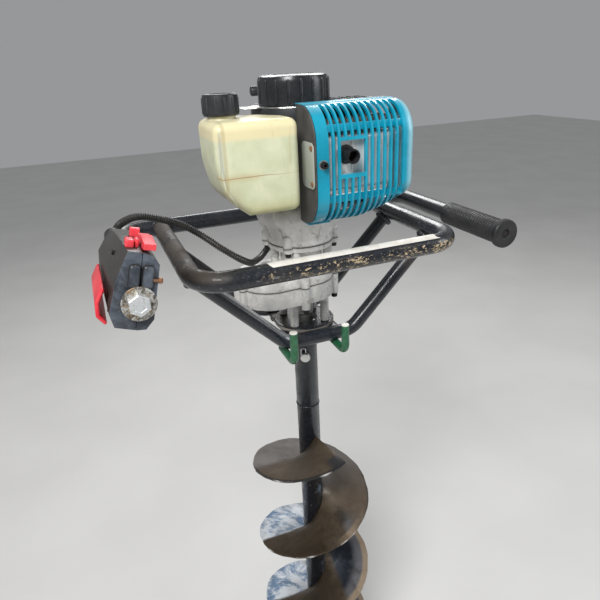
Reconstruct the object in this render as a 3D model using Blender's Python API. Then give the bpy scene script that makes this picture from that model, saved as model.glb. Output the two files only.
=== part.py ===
"""One-operator petrol earth auger: tubular frame, two-stroke engine, reduction gearbox and bit.

Metres, +Z up. The origin is on the drive axis, level with the two hand grips.
The operator stands on the -Y side; the bit hangs down -Z.
"""
import math

import bmesh
import bpy
from mathutils import Matrix, Vector

# Driving dimensions (metres)
GAP = 0.0003                 # air between pieces that touch
BAR_R = 0.0127               # handlebar tube radius
BAR_WALL = 0.002
BRACE_R = 0.010              # lower brace tube radius
ARM_X = 0.2435               # half the distance between the hand grips
REAR_Y = 0.149               # rear handlebar
LOOP_Y = -0.128              # front guard bar
LOOP_X = 0.175               # half the width of the front loop
BRACE_Y = 0.060              # planes of the two lower braces
BRACE_Z = -0.134             # bottom run of the lower braces
LEFT_RISE = 0.024            # how far the left arm climbs at its end
LEFT_END_Y = -0.203
RIGHT_END_Y = -0.136
GEAR_CENTRES = 0.048         # distance from the drive axis to the countershaft
MODULE = 0.0015
PINION_TEETH = 9
COUNTER_TEETH = 55
COUNTER_PINION_TEETH = 12
OUTPUT_TEETH = 52
BIT_R = 0.0995               # flight outer radius
BIT_PITCH = 0.160
BIT_TUBE_R = 0.018
BIT_TUBE_WALL = 0.0035
BIT_TUBE_TOP = -0.150
BIT_TUBE_LOW = -0.930
FLIGHT_TOP = -0.342
FLIGHT_START = math.radians(-77.7)
FLIGHT_LOW = -0.922
PIN_Z = -0.188
PIN_ANGLE = math.radians(-113.0)
CRANK_Z = 0.110              # height of the cylinder's axis
COVER_LEFT = -0.017
COVER_RIGHT = 0.104
COVER_FRONT = -0.112
COVER_TOP = 0.180
COVER_LOW = 0.038
COVER_WALL = 0.0025
CORD_R = 0.0048              # throttle cable conduit

UP = (0, 0, 1)
FORWARD = (0, -1, 0)
BACK = (0, 1, 0)
RIGHT = (1, 0, 0)

for old in list(bpy.data.objects):
    bpy.data.objects.remove(old, do_unlink=True)


# ---------------------------------------------------------------- finishes

def finish(name, colour, roughness, metallic=0.0):
    """Return the named Principled material, making it on first use."""
    made = bpy.data.materials.get(name)
    if made:
        return made
    made = bpy.data.materials.new(name)
    made.use_nodes = True
    shader = made.node_tree.nodes["Principled BSDF"]
    shader.inputs["Base Color"].default_value = (*colour, 1.0)
    shader.inputs["Roughness"].default_value = roughness
    shader.inputs["Metallic"].default_value = metallic
    return made


BLACK_PAINT = finish("black_paint", (0.012, 0.013, 0.015), 0.35)
BLACK_PLASTIC = finish("black_plastic", (0.02, 0.021, 0.023), 0.45)
GREY_SHEET = finish("grey_sheet", (0.09, 0.09, 0.09), 0.6)
RUBBER = finish("rubber", (0.015, 0.015, 0.016), 0.75)
RED_PLASTIC = finish("red_plastic", (0.75, 0.03, 0.05), 0.35)
TEAL_PLASTIC = finish("teal_plastic", (0.0, 0.33, 0.42), 0.3)
TANK_PLASTIC = finish("tank_plastic", (0.72, 0.74, 0.5), 0.4)
CAST_ALLOY = finish("cast_alloy", (0.5, 0.49, 0.46), 0.55, 0.8)
STEEL = finish("steel", (0.5, 0.5, 0.5), 0.35, 1.0)
GREEN_ENAMEL = finish("green_enamel", (0.02, 0.16, 0.06), 0.35)
BIT_PAINT = finish("bit_paint", (0.02, 0.021, 0.025), 0.35)
FLIGHT_STEEL = finish("flight_steel", (0.16, 0.12, 0.09), 0.4, 0.8)
LABEL = finish("label", (0.4, 0.42, 0.38), 0.5)


# ---------------------------------------------------------------- tools

def aim(direction, at):
    """Matrix that turns +Z to the direction and then moves to the point."""
    turn = Vector((0, 0, 1)).rotation_difference(Vector(direction)).to_matrix().to_4x4()
    return Matrix.Translation(Vector(at)) @ turn


def to_object(name, bm, coat, sharp=32.0):
    """Write the bmesh to a new smooth-shaded object."""
    bmesh.ops.remove_doubles(bm, verts=bm.verts, dist=1e-6)
    bmesh.ops.recalc_face_normals(bm, faces=bm.faces)
    mesh = bpy.data.meshes.new(name)
    bm.to_mesh(mesh)
    bm.free()
    mesh.shade_smooth()
    mesh.set_sharp_from_angle(angle=math.radians(sharp))
    mesh.materials.append(coat)
    made = bpy.data.objects.new(name, mesh)
    bpy.context.collection.objects.link(made)
    return made


def turned(name, profile, coat, steps=28, at=(0, 0, 0), along=UP):
    """Spin a closed outline of (radius, height) pairs about the direction."""
    bm = bmesh.new()
    chain = [bm.verts.new((radius, 0, height)) for radius, height in profile]
    links = []
    for index, vertex in enumerate(chain):
        following = chain[(index + 1) % len(chain)]
        if vertex.co.x > 0 or following.co.x > 0:
            links.append(bm.edges.new((vertex, following)))
    bmesh.ops.spin(bm, geom=chain + links, cent=(0, 0, 0), axis=(0, 0, 1),
                   angle=2 * math.pi, steps=steps, use_merge=True)
    bmesh.ops.transform(bm, matrix=aim(along, at), verts=bm.verts)
    return to_object(name, bm, coat)


def rod(name, radius, length, coat, steps=16, at=(0, 0, 0), along=UP):
    """Plain round bar that starts at a point and runs along the direction."""
    return turned(name, [(0, 0), (radius, 0), (radius, length), (0, length)], coat, steps, at, along)


def washer(name, bore, radius, length, coat, steps=20, at=(0, 0, 0), along=UP):
    """Round ring that starts at a point and runs along the direction."""
    outline = [(bore, 0), (radius, 0), (radius, length), (bore, length)]
    return turned(name, outline, coat, steps, at, along)


def prism(name, outline, low, high, coat, frame=Matrix.Identity(4)):
    """Extrude a flat outline from the low to the high level of its own frame."""
    bm = bmesh.new()
    face = bm.faces.new([bm.verts.new((a, b, low)) for a, b in outline])
    raised = bmesh.ops.extrude_face_region(bm, geom=[face])["geom"]
    tops = [item for item in raised if isinstance(item, bmesh.types.BMVert)]
    bmesh.ops.translate(bm, verts=tops, vec=(0, 0, high - low))
    bmesh.ops.transform(bm, matrix=frame, verts=bm.verts)
    return to_object(name, bm, coat)


def box(name, low, high, coat, bevel=0.0):
    """Block between two corners, with all its edges bevelled if asked."""
    outline = [(low[0], low[1]), (high[0], low[1]), (high[0], high[1]), (low[0], high[1])]
    made = prism(name, outline, low[2], high[2], coat)
    if bevel:
        bm = bmesh.new()
        bm.from_mesh(made.data)
        bmesh.ops.bevel(bm, geom=bm.edges[:], offset=bevel, segments=1, affect="EDGES")
        bm.to_mesh(made.data)
        bm.free()
    return made


def loft(name, sections, coat):
    """Skin between outlines with equal point counts, closed at both ends."""
    bm = bmesh.new()
    rings = [[bm.verts.new(point) for point in section] for section in sections]
    count = len(rings[0])
    for lower, upper in zip(rings, rings[1:]):
        for index in range(count):
            after = (index + 1) % count
            bm.faces.new((lower[index], lower[after], upper[after], upper[index]))
    bm.faces.new(rings[0])
    bm.faces.new(rings[-1])
    return to_object(name, bm, coat)


def pipe(name, points, radius, coat, wall=None, level=3):
    """Round tube or bar along a line of points; a wall makes it hollow."""
    curve = bpy.data.curves.new(name, "CURVE")
    curve.dimensions = "3D"
    curve.bevel_depth = radius
    curve.bevel_resolution = level
    curve.use_fill_caps = wall is None
    spline = curve.splines.new("POLY")
    spline.points.add(len(points) - 1)
    for slot, point in zip(spline.points, points):
        slot.co = (*point, 1.0)
    spline.use_smooth = True
    curve.materials.append(coat)
    made = bpy.data.objects.new(name, curve)
    bpy.context.collection.objects.link(made)
    if wall:
        shell = made.modifiers.new("wall", "SOLIDIFY")
        shell.thickness = wall
        shell.offset = -1.0
        shell.use_rim = True
    return made


def rounded(corners, radius, steps=5):
    """Points of a bent tube: straight runs between corners, an arc at each bend."""
    corners = [Vector(corner) for corner in corners]
    route = [corners[0]]
    for before, corner, after in zip(corners, corners[1:], corners[2:]):
        incoming = (corner - before).normalized()
        outgoing = (after - corner).normalized()
        turn = incoming.angle(outgoing)
        if turn < 0.02:
            route.append(corner)
            continue
        inset = radius * math.tan(turn / 2)
        start = corner - incoming * inset
        inward = (outgoing - incoming * math.cos(turn)).normalized()
        for step in range(steps + 1):
            part = turn * step / steps
            route.append(start + incoming * radius * math.sin(part) + inward * radius * (1 - math.cos(part)))
    route.append(corners[-1])
    return route


def flowing(route, pieces):
    """Points of a smooth curve through the route, a few to each span."""
    route = [Vector(point) for point in route]
    ends = [2 * route[0] - route[1]] + route + [2 * route[-1] - route[-2]]
    points = []
    for a, b, c, d in zip(ends, ends[1:], ends[2:], ends[3:]):
        for piece in range(pieces):
            t = piece / pieces
            points.append(0.5 * (2 * b + (c - a) * t + (2 * a - 5 * b + 4 * c - d) * t * t
                                 + (3 * b - a - 3 * c + d) * t ** 3))
    points.append(route[-1])
    return points


def arc(centre, radius, start, end, steps):
    """Points on an arc between two angles in degrees."""
    turns = [math.radians(start + (end - start) * step / steps) for step in range(steps + 1)]
    return [(centre[0] + radius * math.cos(t), centre[1] + radius * math.sin(t)) for t in turns]


def two_lobes(left_x, left_r, right_x, right_r, steps=12):
    """Outline that wraps two circles whose centres lie on the X axis."""
    lean = math.degrees(math.acos((left_r - right_r) / (right_x - left_x)))
    right_side = arc((right_x, 0), right_r, -lean, lean, steps)
    left_side = arc((left_x, 0), left_r, lean, 360 - lean, steps)
    return right_side + left_side


def tool(cutter):
    """Mark an object as a construction solid that is not part of the model."""
    cutter.hide_render = True
    cutter.display_type = "WIRE"
    return cutter


def combine(target, other, operation):
    """Add an exact Boolean modifier."""
    step = target.modifiers.new(other.name, "BOOLEAN")
    step.operation = operation
    step.solver = "EXACT"
    step.object = tool(other)
    return target


def cut(target, other):
    """Cut the second solid out of the first."""
    return combine(target, other, "DIFFERENCE")


def weld(target, other):
    """Join the second solid to the first."""
    return combine(target, other, "UNION")


def pivot(moving, point):
    """Put the object's origin on its joint axis and leave its shape where it is."""
    moving.data.transform(Matrix.Translation(-Vector(point)))
    moving.location = point
    return moving


def gear_outline(teeth, phase, centre_x, play=0.00022):
    """Straight-flanked spur gear outline with a tooth at the phase angle."""
    pitch_r = teeth * MODULE / 2
    levels = [(-1.2, 0.46), (0.0, 0.0), (0.85, -0.44)]
    half = MODULE * math.pi / 4 - play
    outline = []
    for tooth in range(teeth):
        middle = phase + 2 * math.pi * tooth / teeth
        flank = [(pitch_r + rise * MODULE, (half + spread * MODULE) / pitch_r) for rise, spread in levels]
        if teeth > 20:
            flank = [flank[0], flank[2]]
        flank = [(radius, min(angle, math.pi / teeth * 0.93)) for radius, angle in flank]
        for radius, angle in flank:
            outline.append((centre_x + radius * math.cos(middle - angle), radius * math.sin(middle - angle)))
        for radius, angle in reversed(flank):
            outline.append((centre_x + radius * math.cos(middle + angle), radius * math.sin(middle + angle)))
    return outline


# ---------------------------------------------------------------- frame

def left_arm_z(y):
    """Height of the left arm, which climbs gently towards its end."""
    return LEFT_RISE * (0.100 - y) / (0.100 - LEFT_END_Y)


def rear_handlebar():
    corners = [(-ARM_X, LEFT_END_Y, LEFT_RISE), (-ARM_X, 0.100, 0), (-ARM_X, REAR_Y, 0),
               (ARM_X, REAR_Y, 0), (ARM_X, RIGHT_END_Y, 0)]
    pipe("rear_handlebar", rounded(corners, 0.042), BAR_R, BLACK_PAINT, BAR_WALL)


def front_loop():
    end = REAR_Y - BAR_R - 0.0006
    corners = [(-LOOP_X, end, 0), (-LOOP_X, LOOP_Y, 0), (LOOP_X, LOOP_Y, 0), (LOOP_X, end, 0)]
    pipe("front_loop_tube", rounded(corners, 0.042), BAR_R, BLACK_PAINT, BAR_WALL)


def lower_brace(name, y):
    top_z = -BAR_R - 0.0075
    corners = [(-0.168, y, top_z), (-0.050, y, BRACE_Z), (0.050, y, BRACE_Z), (0.168, y, top_z)]
    pipe(name, rounded(corners, 0.032, 4), BRACE_R, BLACK_PAINT, 0.0018, 2)


def base_plate():
    plate = box("base_plate", (-0.040, -0.0500, -0.141), (0.040, 0.0500, -0.135), BLACK_PAINT)
    cut(plate, rod("plate_bore", 0.020, 0.02, STEEL, 20, (0, 0, -0.148)))


def mount_disc():
    washer("mount_disc", 0.020, 0.0445, 0.006, BLACK_PAINT, 28, (0, 0, -0.1347))


def hook(name, x):
    reach = BRACE_Z - BRACE_R - GAP - 0.0058
    corners = [(x, -0.092, -0.103), (x, -0.092, reach), (x, -0.040, reach)]
    pipe(name, rounded(corners, 0.013, 4), 0.0055, GREEN_ENAMEL, None, 2)


def right_grip():
    sleeve = BAR_R + GAP
    end = -RIGHT_END_Y + GAP
    outline = [(sleeve, 0.012), (0.0168, 0.012), (0.0168, 0.132), (0.0198, 0.133), (0.0198, 0.140),
               (0.006, 0.140), (0.006, end), (sleeve, end)]
    turned("right_grip", outline, RUBBER, 20, (ARM_X, 0, 0), FORWARD)


# ---------------------------------------------------------------- throttle handle

ROLL = math.radians(14)
BAR_SLOPE = Vector((0, LEFT_END_Y - 0.100, LEFT_RISE)).normalized()


def on_arm(side, y, height):
    """World point from the sideways and upward distance off the left arm's axis."""
    x = side * math.cos(ROLL) + height * math.sin(ROLL)
    z = height * math.cos(ROLL) - side * math.sin(ROLL)
    return (-ARM_X + x, y, left_arm_z(y) + z)


def arm_block(name, sides, ends, heights):
    """Block in the left arm's own directions."""
    corners = [(sides[0], heights[0]), (sides[1], heights[0]), (sides[1], heights[1]), (sides[0], heights[1])]
    return loft(name, [[on_arm(side, y, height) for side, height in corners] for y in ends], STEEL)


def throttle_housing():
    near_y = -0.197
    far_y = -0.050
    middle = (near_y + far_y) / 2
    seam = GAP / 2
    left = [
        [(-seam, -0.030), (-seam, 0.049), (-0.014, 0.049), (-0.0225, 0.020), (-0.0262, -0.014),
         (-0.020, -0.028)],
        [(-seam, -0.025), (-seam, 0.051), (-0.018, 0.050), (-0.0275, 0.020), (-0.0280, -0.012),
         (-0.019, -0.024)],
        [(-seam, -0.018), (-seam, 0.045), (-0.021, 0.045), (-0.032, 0.018), (-0.029, -0.008),
         (-0.016, -0.018)],
    ]
    right = [
        [(seam, -0.030), (seam, 0.049), (0.011, 0.046), (0.0165, 0.038), (0.0165, -0.018),
         (0.010, -0.029)],
        [(seam, -0.025), (seam, 0.049), (0.011, 0.046), (0.0165, 0.038), (0.0165, -0.016),
         (0.010, -0.024)],
        [(seam, -0.018), (seam, 0.045), (0.011, 0.043), (0.0165, 0.032), (0.0165, -0.010),
         (0.010, -0.017)],
    ]
    for name, sections in (("throttle_housing_left", left), ("throttle_housing_right", right)):
        rings = []
        for y, section in zip((near_y, middle, far_y), sections):
            rings.append([on_arm(side, y, height) for side, height in section])
        half = loft(name, rings, BLACK_PLASTIC)
        start = Vector((-ARM_X, -0.020, left_arm_z(-0.020)))
        cut(half, rod(name + "_bore", BAR_R + GAP, 0.200, STEEL, 20, start, BAR_SLOPE))
        cut(half, arm_block(name + "_lock_slot", (-0.0001, 0.0135), (-0.1935, -0.1275), (0.0425, 0.060)))
        cut(half, arm_block(name + "_switch_pocket", (-0.0070, 0.0050), (-0.1255, -0.1105), (0.0480, 0.060)))


def bar_end_washer():
    spot = Vector((-ARM_X, LEFT_END_Y, LEFT_RISE)) + BAR_SLOPE * GAP
    washer("bar_end_washer", 0.0058, 0.0170, 0.002, STEEL, 24, spot, BAR_SLOPE)


def bar_end_bolt():
    end = Vector((-ARM_X, LEFT_END_Y, LEFT_RISE))
    shank = turned("bar_end_bolt", [(0, -0.020), (0.0055, -0.020), (0.0055, 0.0030), (0, 0.0030)],
                   STEEL, 12, end, BAR_SLOPE)
    head = turned("bolt_head", [(0, 0), (0.0112, 0), (0.0112, 0.0070), (0, 0.0070)], STEEL, 6,
                  end + BAR_SLOPE * (0.002 + 2 * GAP), BAR_SLOPE)
    weld(shank, head)


TRIGGER_PIVOT = Vector(on_arm(-0.038, -0.070, -0.012))


def throttle_trigger():
    """Curved finger lever that hangs along the outer lower side of the handle."""
    sections = []
    blade = [(-0.0335, 0.006), (-0.0385, -0.010), (-0.0365, -0.024), (-0.0270, -0.0325),
             (-0.0250, -0.0290), (-0.0325, -0.0215), (-0.0340, -0.0095), (-0.0300, 0.005)]
    for y in (-0.068, -0.120, -0.178):
        sections.append([on_arm(side, y, height) for side, height in blade])
    pivot(loft("throttle_trigger", sections, RED_PLASTIC), TRIGGER_PIVOT)


def throttle_lock():
    """Wedge that the palm presses down on the top edge of the handle."""
    outline = [(-0.130, 0.0460), (-0.142, 0.0460), (-0.190, 0.0500), (-0.190, 0.0560),
               (-0.172, 0.0640), (-0.158, 0.0640), (-0.152, 0.0570), (-0.130, 0.0560)]
    sections = []
    for side in (0.001, 0.0125):
        sections.append([on_arm(side, y, height) for y, height in outline])
    pivot(loft("throttle_lock", sections, RED_PLASTIC), on_arm(0, -0.130, 0.053))


def kill_switch():
    outline = [(-0.112, 0.0500), (-0.124, 0.0500), (-0.124, 0.0590), (-0.119, 0.0600), (-0.116, 0.0590),
               (-0.112, 0.0590)]
    sections = []
    for side in (-0.006, 0.004):
        sections.append([on_arm(side, y, height) for y, height in outline])
    pivot(loft("kill_switch", sections, RED_PLASTIC), on_arm(0, -0.118, 0.0535))


def throttle_conduit():
    """Cable conduit from the handle, over the frame and round the gearbox to the carburettor."""
    route = [(-0.252, -0.0455, 0.047), (-0.240, -0.025, 0.057), (-0.218, -0.010, 0.0595),
             (-0.190, 0.000, 0.050), (-0.163, 0.006, 0.037), (-0.140, 0.000, 0.021),
             (-0.119, -0.014, 0.004), (-0.098, -0.020, -0.012), (-0.080, -0.010, -0.025),
             (-0.065, 0.014, -0.033), (-0.045, 0.040, -0.034), (-0.021, 0.062, -0.020),
             (-0.004, 0.074, 0.008), (-0.002, 0.077, 0.043), (-0.001, 0.078, 0.078),
             (0.012, 0.0765, 0.105), (0.0345, 0.074, 0.112)]
    pipe("throttle_conduit", flowing(route, 3), CORD_R, BLACK_PLASTIC, None, 2)


# ---------------------------------------------------------------- engine

def crankcase():
    outline = [(0.0103, 0.046), (0.038, 0.046), (0.038, 0.150), (0.0103, 0.150),
               (0.0103, 0.136), (0.030, 0.136), (0.030, 0.084), (0.0103, 0.084)]
    body = turned("crankcase", outline, CAST_ALLOY, 22)
    cut(body, rod("cylinder_mouth", 0.0208, 0.040, STEEL, 20, (0.010, 0, CRANK_Z), RIGHT))


def cylinder():
    outline = [(0.0203, 0.0383), (0.034, 0.0383), (0.034, 0.044), (0.027, 0.044)]
    for fin in range(5):
        start = 0.052 + fin * 0.012
        outline += [(0.027, start), (0.041, start), (0.041, start + 0.004), (0.027, start + 0.004)]
    outline += [(0.027, 0.112), (0.006, 0.112), (0.006, 0.103), (0.0203, 0.103)]
    turned("cylinder", outline, CAST_ALLOY, 16, (0, 0, CRANK_Z), RIGHT)


def piston():
    skirt = 0.0445
    crown = skirt + 0.033
    outline = [(0.0165, skirt), (0.0199, skirt), (0.0199, crown), (0, crown), (0, crown - 0.006),
               (0.0165, crown - 0.006)]
    pivot(turned("piston", outline, STEEL, 20, (0, 0, CRANK_Z), RIGHT), (skirt + 0.015, 0, CRANK_Z))


def spark_plug():
    outline = [(0, 0.104), (0.0056, 0.104), (0.0056, 0.1123), (0.0095, 0.1123), (0.0095, 0.121),
               (0.005, 0.123), (0.004, 0.142), (0, 0.142)]
    turned("spark_plug", outline, STEEL, 12, (0, 0, CRANK_Z), RIGHT)


def plug_boot():
    outline = [(0.0053, 0.126), (0.0095, 0.126), (0.0095, 0.150), (0.006, 0.153), (0, 0.153),
               (0, 0.1425), (0.0053, 0.1425)]
    turned("plug_boot", outline, RUBBER, 16, (0, 0, CRANK_Z), RIGHT)


def crankshaft():
    lower = turned("crankshaft", [(0, 0.012), (0.010, 0.012), (0.010, 0.088), (0.027, 0.088),
                                  (0.027, 0.100), (0, 0.100)], STEEL, 20)
    upper = turned("upper_crank", [(0, 0.120), (0.027, 0.120), (0.027, 0.132), (0.010, 0.132),
                                   (0.010, 0.176), (0, 0.176)], STEEL, 20)
    weld(lower, rod("crank_pin", 0.007, 0.022, STEEL, 14, (0, -0.015, 0.099)))
    weld(lower, upper)


def flywheel_fan():
    wheel = washer("flywheel_fan", 0.0103, 0.045, 0.004, CAST_ALLOY, 24, (0, 0, 0.1535))
    star = []
    for tip in range(16):
        radius = 0.043 if tip % 2 == 0 else 0.017
        angle = math.pi * tip / 8
        star.append((radius * math.cos(angle), radius * math.sin(angle)))
    vanes = prism("fan_vanes", star, 0.157, 0.1700, CAST_ALLOY)
    cut(vanes, rod("fan_bore", 0.0103, 0.030, STEEL, 24, (0, 0, 0.150)))
    weld(wheel, vanes)


def ignition_coil():
    box("ignition_coil", (0.0475, -0.014, 0.1535), (0.080, 0.014, 0.1705), BLACK_PLASTIC, 0.002)


def fan_shroud():
    shroud = prism("fan_shroud", two_lobes(0, 0.056, 0.062, 0.046), 0.1525, 0.175, BLACK_PLASTIC)
    cut(shroud, prism("shroud_room", two_lobes(0, 0.0535, 0.062, 0.0435), 0.150, 0.1725, STEEL))
    cut(shroud, rod("shroud_eye", 0.034, 0.02, STEEL, 24, (0, 0, 0.165)))
    vents = [box(f"vent_{n}", (0.058 + 0.010 * n, -0.030, 0.168), (0.064 + 0.010 * n, 0.030, 0.180), STEEL)
             for n in range(4)]
    for vent in vents:
        cut(shroud, vent)


def starter_housing():
    cup = turned("starter_housing", [(0.0445, 0.1753), (0.047, 0.1753), (0.047, 0.205), (0.042, 0.212),
                                     (0, 0.212), (0, 0.2095), (0.041, 0.2095), (0.0445, 0.204)],
                 BLACK_PLASTIC, 28)
    cut(cup, rod("rope_hole", 0.004, 0.020, STEEL, 12, (-0.018, 0.030, 0.192), BACK))


def starter_pulley():
    outline = [(0.004, 0.180), (0.026, 0.180), (0.026, 0.184), (0.022, 0.188), (0.022, 0.194),
               (0.026, 0.198), (0.026, 0.203), (0.004, 0.203)]
    turned("starter_pulley", outline, BLACK_PLASTIC, 18)


def starter_handle():
    grip = rod("starter_handle", 0.0065, 0.044, BLACK_PLASTIC, 14, (-0.040, 0.056, 0.192), RIGHT)
    stem = rod("handle_stem", 0.0045, 0.009, BLACK_PLASTIC, 12, (-0.018, 0.0475, 0.192), BACK)
    weld(grip, stem)


def cover_section(x, shrink=1.0, wall=0.0, rise=0.0):
    """Outline of the cover across the drive, seen along X: a D with its back open."""
    front = COVER_FRONT + wall
    top = COVER_TOP - wall
    low = COVER_LOW + wall + rise
    upper = arc((front + 0.040, top - 0.040), 0.040, 90, 180, 5)
    lower = arc((front + 0.040, low + 0.040), 0.040, 180, 270, 5)
    back = -0.050 if wall == 0 else -0.030
    outline = [(back, top)] + upper + lower + [(back, low)]
    middle_y = -0.060
    middle_z = (COVER_TOP + COVER_LOW) / 2
    return [(x, middle_y + (y - middle_y) * shrink, middle_z + (z - middle_z) * shrink) for y, z in outline]


def engine_cover():
    """Its lower edge climbs towards the right end."""
    shape = [cover_section(COVER_LEFT), cover_section(0.050), cover_section(0.085, rise=0.008),
             cover_section(COVER_RIGHT, rise=0.020), cover_section(0.111, 0.95, rise=0.020),
             cover_section(0.1155, 0.84, rise=0.020)]
    cover = loft("engine_cover", shape, TEAL_PLASTIC)
    room = [cover_section(COVER_LEFT - 0.010, 1.0, COVER_WALL), cover_section(0.050, 1.0, COVER_WALL),
            cover_section(0.085, 1.0, COVER_WALL, 0.008),
            cover_section(COVER_RIGHT - 0.001, 1.0, COVER_WALL, 0.020),
            cover_section(0.109, 0.94, COVER_WALL, 0.020),
            cover_section(0.113, 0.82, COVER_WALL, 0.020)]
    cut(cover, loft("cover_room", room, STEEL))
    for slot in range(12):
        left = -0.0035 + 0.0088 * slot
        cut(cover, box(f"slot_{slot}", (left, -0.130, 0.058), (left + 0.0062, -0.078, 0.1715), STEEL))
    cut(cover, box("window", (0.014, -0.130, 0.097), (0.0475, -0.100, 0.142), STEEL))


def heat_shield():
    flat = [point[1:] for point in cover_section(0)]
    frame = Matrix(((0, 0, 1, 0), (1, 0, 0, 0), (0, 1, 0, 0), (0, 0, 0, 1)))
    sheet = prism("heat_shield", flat, COVER_LEFT - 0.0023, COVER_LEFT - GAP, GREY_SHEET, frame)
    cut(sheet, box("shield_edge", (-0.030, -0.0567, 0.030), (0.0, -0.040, 0.190), STEEL))


def label_plate():
    front = COVER_LEFT - 0.0023 - GAP
    box("label_plate", (front - 0.0012, -0.110, 0.086), (front, -0.074, 0.140), LABEL)


def cover_screw():
    head = rod("cover_screw", 0.0042, 0.006, STEEL, 12, (-0.0095, COVER_FRONT - GAP, 0.115), FORWARD)
    cut(head, rod("screw_socket", 0.0022, 0.006, STEEL, 6, (-0.0095, COVER_FRONT - 0.0032, 0.115), FORWARD))


def muffler():
    case = box("muffler", (-0.014, -0.1035, 0.080), (0.090, -0.057, 0.160), STEEL, 0.006)
    weld(case, rod("exhaust_port", 0.011, 0.0175, STEEL, 16, (0.070, -0.059, CRANK_Z), BACK))
    outlet = washer("outlet", 0.0062, 0.0082, 0.024, STEEL, 16, (0.0235, -0.102, 0.1230), FORWARD)
    weld(case, outlet)
    cut(case, rod("outlet_bore", 0.0062, 0.050, STEEL, 16, (0.0235, -0.080, 0.1230), FORWARD))


def carburettor():
    body = box("carburettor", (0.036, 0.0455, 0.096), (0.072, 0.082, 0.128), CAST_ALLOY, 0.002)
    cut(body, rod("venturi", 0.008, 0.060, STEEL, 16, (0.054, 0.035, 0.112), BACK))
    cut(body, rod("primer_seat", 0.0096, 0.010, STEEL, 16, (0.0688, 0.064, 0.110), RIGHT))


def air_filter_cover():
    case = box("air_filter_cover", (0.012, 0.0823, 0.078), (0.096, 0.116, 0.148), BLACK_PLASTIC, 0.006)
    cut(case, box("filter_room", (0.036, 0.080, 0.090), (0.084, 0.108, 0.136), STEEL))


def choke_lever():
    outline = [(-0.004, -0.004), (0.004, -0.004), (0.004, 0.016), (0.010, 0.022), (0.006, 0.026),
               (-0.004, 0.020)]
    frame = Matrix(((1, 0, 0, 0.028), (0, 0, 1, 0), (0, 1, 0, 0.142), (0, 0, 0, 1)))
    lever = prism("choke_lever", outline, 0.0785, 0.0820, BLACK_PLASTIC, frame)
    pivot(lever, (0.028, 0.080, 0.142))


def primer_bulb():
    outline = [(0, 0), (0.009, 0), (0.009, 0.003), (0.0085, 0.008), (0.005, 0.012), (0, 0.013)]
    seat = (0.0726, 0.064, 0.110)
    pivot(turned("primer_bulb", outline, TANK_PLASTIC, 16, seat, RIGHT), seat)


def fuel_tank():
    """Blow-moulded tank: upright prism, its lower left side sloped, its inner rear corner set back."""
    plan = [(-0.132, -0.102), (-0.033, -0.102), (-0.033, -0.0485), (-0.0505, -0.028), (-0.058, -0.014),
            (-0.132, -0.014)]
    tank = prism("fuel_tank", plan, 0.063, 0.1695, TANK_PLASTIC)
    bm = bmesh.new()
    bm.from_mesh(tank.data)
    bmesh.ops.bevel(bm, geom=bm.edges[:], offset=0.009, segments=2, affect="EDGES", clamp_overlap=True)
    bm.to_mesh(tank.data)
    bm.free()
    slope = [(-0.145, 0.030), (-0.080, 0.030), (-0.080, 0.063), (-0.118, 0.080), (-0.128, 0.110),
             (-0.132, 0.150), (-0.145, 0.150)]
    frame = Matrix(((1, 0, 0, 0), (0, 0, 1, 0), (0, 1, 0, 0), (0, 0, 0, 1)))
    cut(tank, prism("tank_slope", slope, -0.120, 0.0, STEEL, frame))
    weld(tank, rod("tank_neck", 0.0165, 0.012, TANK_PLASTIC, 20, (-0.109, -0.050, 0.166)))


def fuel_cap():
    outline = [(0.0168, 0.1735), (0.0200, 0.1735), (0.0212, 0.176), (0.0205, 0.194), (0.0185, 0.197),
               (0, 0.197), (0, 0.1790), (0.0168, 0.1790)]
    pivot(turned("fuel_cap", outline, BLACK_PLASTIC, 20, (-0.109, -0.050, 0)), (-0.109, -0.050, 0.18))


def fuel_hose():
    route = [(-0.090, -0.0137, 0.100), (-0.090, 0.006, 0.101), (-0.082, 0.032, 0.103), (-0.058, 0.052, 0.101),
             (-0.025, 0.060, 0.094), (0.010, 0.060, 0.086), (0.038, 0.061, 0.081), (0.050, 0.063, 0.085),
             (0.052, 0.064, 0.0957)]
    pipe("fuel_hose", flowing(route, 3), 0.0028, TANK_PLASTIC, None, 2)


# ---------------------------------------------------------------- clutch

def clutch_hub():
    washer("clutch_hub", 0.0103, 0.0145, 0.014, STEEL, 20, (0, 0, 0.015))


def clutch_shoe(name, centre_angle):
    outline = arc((0, 0), 0.0368, centre_angle - 76, centre_angle + 76, 10)
    outline += arc((0, 0), 0.0150, centre_angle + 70, centre_angle - 70, 8)
    pivot(prism(name, outline, 0.015, 0.029, STEEL), (0, 0, 0.022))


def clutch_drum():
    outline = [(0, 0.0075), (0.0415, 0.0075), (0.0415, 0.031), (0.0390, 0.031), (0.0390, 0.0105), (0, 0.0105)]
    turned("clutch_drum", outline, STEEL, 28)


def clutch_housing():
    outline = [(0.0083, -0.0040), (0.0465, -0.0040), (0.0465, 0.004), (0.049, 0.010), (0.0595, 0.031),
               (0.0595, 0.0362), (0.047, 0.0362), (0.041, 0.0457), (0.034, 0.0457), (0.034, 0.040),
               (0.043, 0.0332), (0.056, 0.0325), (0.0455, 0.009), (0.0435, 0.003), (0.0083, 0.003)]
    turned("clutch_housing", outline, CAST_ALLOY, 24)


# ---------------------------------------------------------------- gearbox

COUNTER_X = -GEAR_CENTRES


def input_pinion():
    gear = prism("input_pinion", gear_outline(PINION_TEETH, 0.0, 0.0), -0.0605, -0.050, STEEL)
    shaft = turned("pinion_shaft", [(0, -0.0505), (0.0045, -0.0505), (0.0078, -0.045), (0.0078, 0.0072),
                                    (0, 0.0072)], STEEL, 16)
    weld(gear, shaft)


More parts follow.
